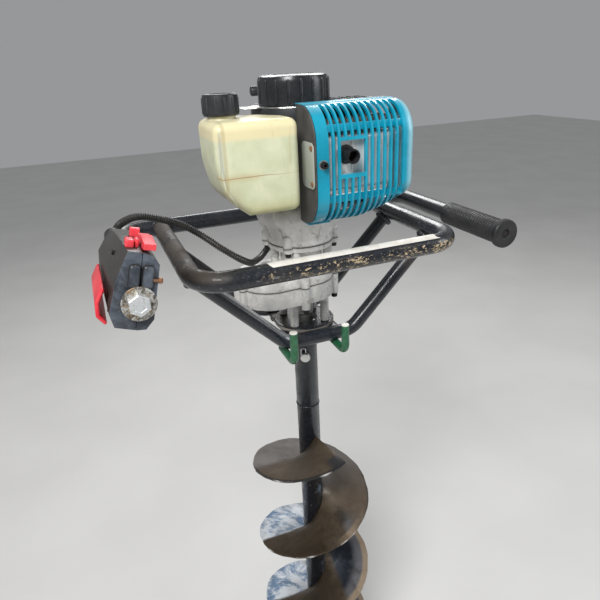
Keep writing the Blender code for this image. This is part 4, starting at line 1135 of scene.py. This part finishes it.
def cover():
    """Teal moulding: a deep D in section with a rounded right end and slots between its ribs."""
    wall, half_rib = 0.0042, 0.0014
    window_left, window_right = RIBS[2], RIBS[6]
    shell = deep_d("engine_cover_skin", (LEFT, FRONT, LOW), (RIGHT, -0.050, TOP), 0.040, 0.0115)
    room = deep_d("room", (LEFT - 0.01, FRONT + wall, LOW + wall), (RIGHT - wall, -0.030, TOP - wall),
                  0.040 - wall, 0.0075)
    for piece in (shell, room):
        climb(piece)
    cut(shell, room)
    cutters = []
    for number, (first, second) in enumerate(zip(RIBS, RIBS[1:])):
        low_x = first + (0.0 if number == 0 else half_rib)
        high_x = second - half_rib if number < len(RIBS) - 2 else second
        in_window = window_left <= first and second <= window_right
        spans = ((0.030, 0.0960), (0.1440, 0.190)) if in_window else ((0.030, 0.190),)
        for low, high in spans:
            cutters.append(block("slot", (low_x, -0.140, low), (high_x, -0.0800, high)))
    cutters.append(block("window", (window_left + half_rib, -0.140, 0.1010),
                         (window_right - half_rib, -0.1035, 0.1400)))
    cut(shell, join("slots", cutters))
    soften(shell, 0.0005, 2, 40)
    fit(shell, COVER_SKIN, "frame", "teal_plastic", "engine_cover")
    bands = []
    for low, high, depth in ((0.1500, 0.1585, -0.1062), (0.0672, 0.0762, -0.1072)):
        strip = block("cross_band", (-0.006, depth, low), (0.1000, depth + 0.0025, high))
        bands.append(soften(strip, 0.0006, 2))
    fit(join("cover_cross_bands", bands), COVER_SKIN, "frame", "teal_plastic")
    lips = [block("top_lip", (LEFT - 0.0006, -0.0700, TOP - 0.0010), (0.106, -0.0490, TOP + 0.0008)),
            block("foot_lip", (LEFT - 0.0006, -0.0800, LOW - 0.0022), (0.012, -0.0480, LOW + 0.0012))]
    for lip in lips:
        soften(lip, 0.0008, 2)
    fit(join("cover_lips", lips), COVER_SKIN, "frame", "teal_plastic")
    screw = socket_head("cover_screw_skin", 0.0042, 0.0085, (-0.0095, FRONT + 0.0012, 0.1150), -Y)
    fit(screw, DARK_BOLT, "frame", "steel", "cover_screw")
    rings = [(0.0030, 0), (0.0056, 0), (0.0056, 0.0008), (0.0030, 0.0008)]
    washer = turned("cover_screw_washer", rings, (-0.0095, FRONT, 0.1150), -Y, 32, closed=True)
    fit(washer, STEEL, "frame", "steel")


def shield_and_label():
    """Grey side sheet with a blank plate held by two rusty screws."""
    eased("heat_shield", GREY_SHEET, "frame", "grey_sheet", 0.0007)
    low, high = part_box("label_plate")
    plate = block("label_plate_skin", low, high)
    round_edges(plate, lambda c, d: abs(d.x) > 0.9, 0.0075, 6)
    soften(plate, 0.0004, 2)
    fit(plate, LABEL_SKIN, "frame", "label", "label_plate")
    dome = [(0.0030, 0), (0.0030, 0.0008), (0.0020, 0.0016), (0.0010, 0.0018)]
    heads = [turned("label_screw", dome, (low.x, -0.1045, z), -X, 24) for z in (0.1340, 0.0925)]
    fit(join("label_screws", heads), RUST_SPOT, "frame", "steel")


def silencer():
    """Two pressed halves with a seam, a black stub for the gas and a pack of thin fins over it."""
    case = block("muffler_skin", (-0.0140, -0.1030, 0.0800), (0.0900, -0.0570, 0.1455))
    round_edges(case, everything, 0.0075, 4)
    shade(case)
    seam = block("seam", (0.0310, -0.1045, 0.0795), (0.0322, -0.0560, 0.1462))
    soften(seam, 0.0003, 2)
    port = turned("port", [(0.011, 0), (0.011, 0.0175)], (0.070, -0.059, 0.110), Y, 32)
    ribs = [soften(block("bead", (x, -0.1042, 0.088), (x + 0.0030, -0.1020, 0.138)), 0.0009, 2)
            for x in (-0.004, 0.010, 0.056, 0.072)]
    fit(join("muffler_skin", [case, seam, port] + ribs), SILENCER_SKIN, "frame", "steel", "muffler")
    rings = [(0.0062, 0), (0.0112, 0), (0.0112, 0.0035), (0.0088, 0.0042), (0.0086, 0.0225),
             (0.0080, 0.0235), (0.0068, 0.0235), (0.0062, 0.0225)]
    stub = turned("exhaust_stub", rings, (0.0235, -0.1020, 0.1230), -Y, 44, closed=True)
    fit(stub, DARK_BOLT, "frame", "steel")
    places = [-0.010 + number * 0.0062 for number in range(17)]
    fins = [block("fin", (x, -0.1020, 0.1475), (x + 0.0012, -0.0600, 0.1625)) for x in places]
    fins.append(block("fin_bar", (-0.012, -0.0985, 0.1500), (0.0905, -0.0955, 0.1530)))
    pack = join("guard_fins", fins)
    soften(pack, 0.0002, 1)
    fit(pack, RUSTY_STEEL, "frame", "steel")


cover()
shield_and_label()
silencer()


# ---------------------------------------------------------------- tank

CAP_AXIS = Vector((-0.109, -0.050, 0))


def tank():
    """Blow-moulded tank with soft corners, a raised mould ridge and a sloped outer foot."""
    outline = block("fuel_tank_skin", (-0.132, -0.102, 0.063), (-0.033, -0.014, 0.1695))
    towards_engine = (((-0.04175, -0.03825, 0), (0.7607, 0.6492, 0)),
                      ((-0.05425, -0.021, 0), (0.88, 0.47, 0)))
    under_foot = (((-0.118, 0, 0.080), (-0.80, 0, -0.98)), ((-0.130, 0, 0.112), (-0.95, 0, -0.24)))
    for point, normal in towards_engine + under_foot:
        slice_off(outline, point, normal)
    pick(outline, "edges", lambda c, d: c.y < -0.10 or c.z > 0.16 or abs(c.x + 0.087) > 0.03)
    bpy.ops.mesh.bevel(offset=0.0105, segments=6, affect="EDGES", clamp_overlap=True)
    close_edit()
    shade(outline, 45)
    ridge = ridge_strip()
    rings = [(0.0180, 0.1660), (0.0172, 0.1700), (0.0165, 0.1712), (0.0165, 0.1778), (0.0150, 0.1780),
             (0.0145, 0.1740)]
    neck = turned("tank_neck", rings, CAP_AXIS, Z, 48)
    fit(join("fuel_tank_skin", [outline, ridge, neck]), TANK_SKIN, "frame", "tank_plastic", "fuel_tank")


def ridge_strip():
    """Rounded rib that runs over the top and down the outer side of the tank."""
    line = [(-0.1215, -0.0800, 0.1685), (-0.1225, -0.0915, 0.1662), (-0.1242, -0.0972, 0.1615),
            (-0.1254, -0.0990, 0.1540), (-0.1258, -0.0992, 0.1300), (-0.1256, -0.0992, 0.1130),
            (-0.1235, -0.0992, 0.0980), (-0.1165, -0.0990, 0.0850), (-0.1100, -0.0962, 0.0760)]
    points = spaced(flowing(line, 10), 0.0025)
    return hose_line("mould_ridge", points, [0.0019] * len(points), 12)


def cap():
    """Screw cap with round ribs down its skirt."""
    rings = [(0.0168, 0.1735), (0.0198, 0.1735), (0.0208, 0.1745), (0.0210, 0.1775), (0.0204, 0.1930),
             (0.0200, 0.1958), (0.0188, 0.1970), (0.0150, 0.1970), (0.0140, 0.1962)]
    body = turned("fuel_cap_skin", rings, CAP_AXIS, Z, 64)
    ribs = [turned("cap_rib", [(0.0017, 0), (0.0017, 0.0155), (0.0010, 0.0175)],
                   CAP_AXIS + around(0.0203, turn, 0.1765), Z, 12) for turn in range(0, 360, 30)]
    fit(join("fuel_cap_skin", [body] + ribs), BLACK_PLASTIC, "cap", "black_plastic", "fuel_cap")


tank()
cap()


# ---------------------------------------------------------------- engine

def starter():
    """Glossy starter cup with flutes round its wall, on a thin light plate, and its pull handle."""
    rings = [(0.0440, 0.1768), (0.0450, 0.1768), (0.0455, 0.1775), (0.0455, 0.2030), (0.0450, 0.2070),
             (0.0435, 0.2104), (0.0402, 0.2120), (0.0300, 0.2120), (0.0290, 0.2112), (0.0120, 0.2112)]
    cup = turned("starter_housing_skin", rings, sides=96)
    flutes = [turned("flute", [(0.0021, 0), (0.0021, 0.0255), (0.0012, 0.0285)],
                     around(0.0451, turn, 0.1790), Z, 14) for turn in range(-178, 100, 20)]
    badge = turned("badge_step", [(0.0210, 0.2116), (0.0205, 0.2119), (0.0100, 0.2119)], sides=64)
    fit(join("starter_housing_skin", [cup, badge] + flutes), CUP_PLASTIC, "frame", "black_plastic",
        "starter_housing")
    rings = [(0.0440, 0.1751), (0.0555, 0.1751), (0.0558, 0.1757), (0.0555, 0.1764), (0.0440, 0.1764)]
    plate = turned("starter_plate", rings, (0, 0, 0), Z, 72, closed=True)
    tongue = soften(block("plate_tongue", (-0.0740, -0.0240, 0.1752), (-0.0480, 0.0130, 0.1763)), 0.0004, 2)
    fit(join("starter_plate", [plate, tongue]), BRIGHT_STEEL, "frame", "steel")
    rings = [(0.0040, 0), (0.0058, 0.0006), (0.0065, 0.0022), (0.0062, 0.0120), (0.0056, 0.0220),
             (0.0062, 0.0320), (0.0065, 0.0418), (0.0058, 0.0434), (0.0040, 0.0440)]
    grip = turned("starter_handle_skin", rings, (-0.040, 0.056, 0.192), X, 32)
    rings = [(0.0045, 0), (0.0045, 0.006), (0.0038, 0.009)]
    stem = turned("handle_stem", rings, (-0.018, 0.0475, 0.192), Y, 24)
    fit(join("starter_handle_skin", [grip, stem]), BLACK_PLASTIC, "starter_grip", "black_plastic",
        "starter_handle")


def shroud():
    """Fan shroud with a grille of five bars on its top."""
    eased("fan_shroud", BLACK_PLASTIC, "frame", "black_plastic", 0.0012)
    places = [0.052 + 0.0125 * number for number in range(5)]
    bars = [soften(block("grille_bar", (x, -0.0500, 0.1752), (x + 0.0028, 0.030, 0.1788)), 0.0007, 2)
            for x in places]
    fit(join("shroud_grille", bars), CUP_PLASTIC, "frame", "black_plastic")


def castings():
    """Clutch bell with its lugs and webs, crankcase and finned cylinder."""
    rings = [(0.0083, -0.0040), (0.0460, -0.0040), (0.0465, -0.0034), (0.0465, 0.0034), (0.0470, 0.0044),
             (0.0492, 0.0100), (0.0545, 0.0215), (0.0588, 0.0305), (0.0600, 0.0360), (0.0596, 0.0440),
             (0.0570, 0.0500), (0.0520, 0.0535), (0.0420, 0.0540), (0.0390, 0.0540), (0.0390, 0.0400),
             (0.0430, 0.0332), (0.0550, 0.0320), (0.0450, 0.0090), (0.0435, 0.0030), (0.0083, 0.0030)]
    housing = turned("clutch_housing_skin", rings, sides=80, closed=True)
    spots = [around(0.0475, turn) for turn in (-132, -22, 60, 158)]
    lugs = [turned("lug", [(0.0062, -0.0120), (0.0068, -0.0112), (0.0068, 0.0050), (0.0055, 0.0110)], spot,
                   Z, 28) for spot in spots]
    webs = []
    for angle in range(-170, 190, 30):
        web = block("web", (0.0440, -0.0011, 0.0042), (0.0560, 0.0011, 0.0240))
        slice_off(web, (0.0500, 0, 0.0080), (0.90, 0, -0.43))
        webs.append(move(web, turn=Matrix.Rotation(math.radians(angle), 4, "Z")))
    fit(join("clutch_housing_skin", [housing] + lugs + webs), GEAR_ALLOY, "frame", "cast_alloy",
        "clutch_housing")
    bolts = [socket_head("flange_bolt", 0.0042, 0.0058, spot - Z * 0.0121, -Z) for spot in spots]
    fit(join("flange_bolts", bolts), DARK_BOLT, "frame", "steel")
    eased("crankcase", CAST_ALLOY, "frame", "cast_alloy", 0.0012)
    barrel = [(0.0203, 0.0383), (0.034, 0.0383), (0.034, 0.0440), (0.027, 0.0450)]
    for fin in range(8):
        start = 0.0475 + fin * 0.0077
        barrel += [(0.0270, start), (0.0400, start), (0.0410, start + 0.0004), (0.0410, start + 0.0018),
                   (0.0400, start + 0.0022), (0.0270, start + 0.0024)]
    barrel += [(0.0270, 0.1120), (0.0060, 0.1120), (0.0060, 0.1030), (0.0203, 0.1030)]
    fit(turned("cylinder_skin", barrel, (0, 0, 0.110), X, 56, closed=True), CAST_ALLOY, "frame",
        "cast_alloy", "cylinder")


def plug():
    """Spark plug and its rubber boot."""
    rings = [(0.0056, 0.1045), (0.0056, 0.1123), (0.0085, 0.1126), (0.0085, 0.1200), (0.0052, 0.1215),
             (0.0044, 0.1240), (0.0044, 0.1410), (0.0030, 0.1420)]
    body = turned("spark_plug_skin", rings, (0, 0, 0.110), X, 28)
    fit(body, BRIGHT_STEEL, "frame", "steel", "spark_plug")
    rings = [(0.0053, 0.1260), (0.0090, 0.1262), (0.0095, 0.1272), (0.0088, 0.1300), (0.0088, 0.1330),
             (0.0095, 0.1345), (0.0095, 0.1490), (0.0084, 0.1520), (0.0060, 0.1530)]
    boot = turned("plug_boot_skin", rings, (0, 0, 0.110), X, 32)
    fit(boot, RUBBER, "frame", "rubber", "plug_boot")


def intake():
    """Carburettor, slatted air filter cover, choke lever and primer bulb."""
    eased("carburettor", CAST_ALLOY, "frame", "cast_alloy", 0.0009)
    low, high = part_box("air_filter_cover")
    case = block("air_filter_cover_skin", low, high)
    round_edges(case, lambda c, d: abs(d.y) > 0.9, 0.014, 6)
    pick(case, "faces", lambda c, n: n.y > 0.9)
    bpy.ops.mesh.inset(thickness=0.006, depth=0.0)
    bpy.ops.mesh.inset(thickness=0.002, depth=-0.0025)
    close_edit()
    soften(case, 0.0022, 3, 40)
    slats = []
    for z in (low.z + 0.016, low.z + 0.027, low.z + 0.038, low.z + 0.049):
        slat = block("slat", (low.x + 0.014, high.y - 0.0040, z),
                     (high.x - 0.014, high.y - 0.0004, z + 0.0035))
        slats.append(soften(slat, 0.0006, 2))
    rings = [(0.0060, 0), (0.0075, 0.0010), (0.0075, 0.0026), (0.0060, 0.0030)]
    knob = turned("filter_knob", rings, (0.054, high.y - 0.0032, 0.1435), Y, 24)
    fit(join("air_filter_cover_skin", [case] + slats + [knob]), BLACK_PLASTIC, "frame", "black_plastic",
        "air_filter_cover")
    eased("choke_lever", BLACK_PLASTIC, "choke", "black_plastic", 0.0006)
    rings = [(0.0090, 0), (0.0090, 0.0020), (0.0086, 0.0055), (0.0074, 0.0090), (0.0052, 0.0118),
             (0.0026, 0.0129)]
    bulb = turned("primer_bulb_skin", rings, (0.0726, 0.064, 0.110), X, 32)
    fit(bulb, HOSE_SKIN, "primer", "tank_plastic", "primer_bulb")


starter()
shroud()
castings()
plug()
intake()


# ---------------------------------------------------------------- gearbox

BOSSES = [(-0.014, -0.0475), (0.047, -0.010), (-0.094, -0.016), (-0.094, 0.016), (-0.014, 0.0475)]


def gearbox():
    """Two cast halves, the bolts in their bosses and the pillars round the neck."""
    for word in ("upper", "lower"):
        eased(f"gearbox_{word}", GEAR_ALLOY, "frame", "cast_alloy", 0.0014, 3, 35)
    bolts = [socket_head("case_bolt", 0.0045, 0.0070, (x, y, -0.0938), -Z) for x, y in BOSSES]
    fit(join("case_bolts", bolts), DARK_BOLT, "frame", "steel")
    pillars = [turned("neck_pillar", [(0.0068, 0), (0.0064, 0.010), (0.0064, 0.0330)],
                      around(0.0385, turn, -0.0450), Z, 28) for turn in (-120, -30, 60, 150)]
    fit(join("neck_pillars", pillars), GEAR_ALLOY, "frame", "cast_alloy")


gearbox()


# ---------------------------------------------------------------- bit

PIN_WAY = around(1, -113)
PITCH = 0.160
WOUND = 0.580           # height of the wound sheet
BIT_R = 0.0995
ROOT_R = 0.0181         # where the sheet meets the tube
HALF_SHEET = 0.0020


def bit_tube():
    """Tube of the bit with the weld under its sleeve."""
    rings = [(0.0145, -0.930), (0.0176, -0.930), (0.0180, -0.9294), (0.0180, -0.1780), (0.0184, -0.1772),
             (0.0184, -0.1508), (0.0180, -0.1500), (0.0145, -0.1500)]
    tube = turned("auger_tube_skin", rings, (0, 0, 0), Z, 64, closed=True)
    fit(tube, BIT_PAINT, "bit", "bit_paint", "auger_tube")
    ring = bead("tube_weld", (0, 0, -0.282), Z, 0.0180, 0.0010, 90)
    fit(ring, BIT_PAINT, "bit", "bit_paint")


def pin():
    """Coupling pin with a wire clip through its head."""
    origin = Vector((0, 0, -0.188))
    rings = [(0.0034, -0.0215), (0.0040, -0.0205), (0.0040, 0.0188), (0.0075, 0.0188), (0.0075, 0.0235),
             (0.0066, 0.0248), (0.0040, 0.0250)]
    shaft = turned("coupling_pin_skin", rings, origin, PIN_WAY, 32)
    fit(shaft, BRIGHT_STEEL, "pin", "steel", "coupling_pin")
    side = PIN_WAY.cross(Z)
    reach = origin + PIN_WAY * 0.0212
    near, far = reach + side * 0.0060, reach - side * 0.0010
    clip = bent_tube("pin_clip", [near, near + Z * 0.0150, far + Z * 0.0150, far + Z * 0.0072], 0.0022,
                     0.0008, 10, 6)
    fit(clip, BRIGHT_STEEL, "pin", "steel")


def flights():
    """One rolled sheet wound down the tube, a right-handed screw."""
    start, foot, steps = math.radians(-77.7), -0.922, 260
    middle = (ROOT_R + BIT_R) / 2
    clear()
    bpy.ops.mesh.primitive_plane_add(size=1, location=(middle, 0, 0), rotation=(math.pi / 2, 0, 0))
    strip = settle("auger_flight_skin")
    for vertex in strip.data.vertices:
        vertex.co.x = ROOT_R if vertex.co.x < middle else BIT_R
        vertex.co.z = HALF_SHEET if vertex.co.z > 0 else -HALF_SHEET
    pick(strip, "faces", everything)
    bpy.ops.mesh.delete(type="ONLY_FACE")
    close_edit()
    pick(strip, "edges", lambda c, d: abs(d.x) > 0.9)
    bpy.ops.mesh.subdivide(number_cuts=3)
    close_edit()
    whole_turn = 2 * math.pi * WOUND / PITCH
    move(strip, (0, 0, foot), Matrix.Rotation(start - whole_turn, 4, "Z"))
    apply(strip, "SCREW", angle=whole_turn, screw_offset=WOUND, iterations=1, axis="Z", steps=steps,
          render_steps=steps, use_merge_vertices=False, use_normal_calculate=True)
    bpy.ops.object.mode_set(mode="EDIT")
    merge(0.00001)
    seal()
    for vertex in strip.data.vertices:
        across = math.hypot(vertex.co.x, vertex.co.y)
        if across > 0.098:
            angle = math.atan2(vertex.co.y, vertex.co.x)
            worn = 0.0006 * (1 + math.sin(angle * 7 + vertex.co.z * 60)) + 0.0004 * (1 + math.sin(angle * 23))
            scale = (across - worn) / across
            vertex.co.x *= scale
            vertex.co.y *= scale
    apply(strip, "BEVEL", width=0.0006, segments=2, limit_method="ANGLE", angle_limit=math.radians(60))
    fit(shade(strip, 40), FLIGHT_STEEL, "bit", "flight_steel", "auger_flight")


def cutting_head():
    """Two blades and the centre point."""
    for word in ("front", "rear"):
        eased(f"blade_{word}", RUSTY_STEEL, "bit", "flight_steel", 0.0010)
    eased("centre_point", STEEL, "bit", "steel", 0.0008)


bit_tube()
pin()
flights()
cutting_head()


# ---------------------------------------------------------------- parts that stay as packed

INNER = {BRIGHT_STEEL: ("piston", "input_pinion", "counter_gear", "output_gear"),
         STEEL: ("crankshaft", "clutch_hub", "clutch_shoe_front", "clutch_shoe_rear", "clutch_drum",
                 "counter_shaft", "output_shaft", "output_bearing"),
         CAST_ALLOY: ("flywheel_fan",),
         BLACK_PLASTIC: ("ignition_coil", "starter_pulley")}
for finish, nodes in INNER.items():
    for node in nodes:
        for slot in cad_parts[node].material_slots:
            slot.material = finish


# ---------------------------------------------------------------- floor and light

def floor():
    """Plain pale floor just under the centre point."""
    clear()
    bpy.ops.mesh.primitive_plane_add(size=16, location=(0, 0, -0.9712))
    ground = settle("floor")
    f = Finish("floor_paint", 0.75)
    f.colour(f.blend(f.band(f.noise(3, 4, 0.5), 0.3, 0.7), (0.66, 0.65, 0.63), (0.70, 0.69, 0.67)))
    f.relief(f.noise(60, 3), 0.02, 0.001)
    ground.data.materials.append(f.material)


def lamp(name, place, target, width, height, power, tint=(1, 1, 1)):
    bpy.ops.object.light_add(type="AREA", location=place)
    light = bpy.context.object
    light.name = name
    light.data.shape = "RECTANGLE"
    light.data.size = width
    light.data.size_y = height
    light.data.energy = power
    light.data.color = tint
    way = Vector(target) - Vector(place)
    light.rotation_euler = way.to_track_quat("-Z", "Y").to_euler()


def lights():
    lamp("key", (-1.2, -1.5, 1.7), (0, 0, 0), 0.9, 0.9, 64)
    lamp("fill", (1.9, -1.1, 0.8), (0, 0, -0.1), 0.9, 1.2, 14, (0.94, 0.97, 1.0))
    lamp("back", (0.8, 1.9, 1.4), (0, 0, 0), 1.4, 0.7, 30)
    world = bpy.data.worlds.new("room")
    world.use_nodes = True
    world.node_tree.nodes["Background"].inputs["Color"].default_value = (0.90, 0.92, 0.95, 1)
    world.node_tree.nodes["Background"].inputs["Strength"].default_value = 0.34
    bpy.context.scene.world = world


floor()
lights()
bpy.context.scene.view_settings.view_transform = "Standard"
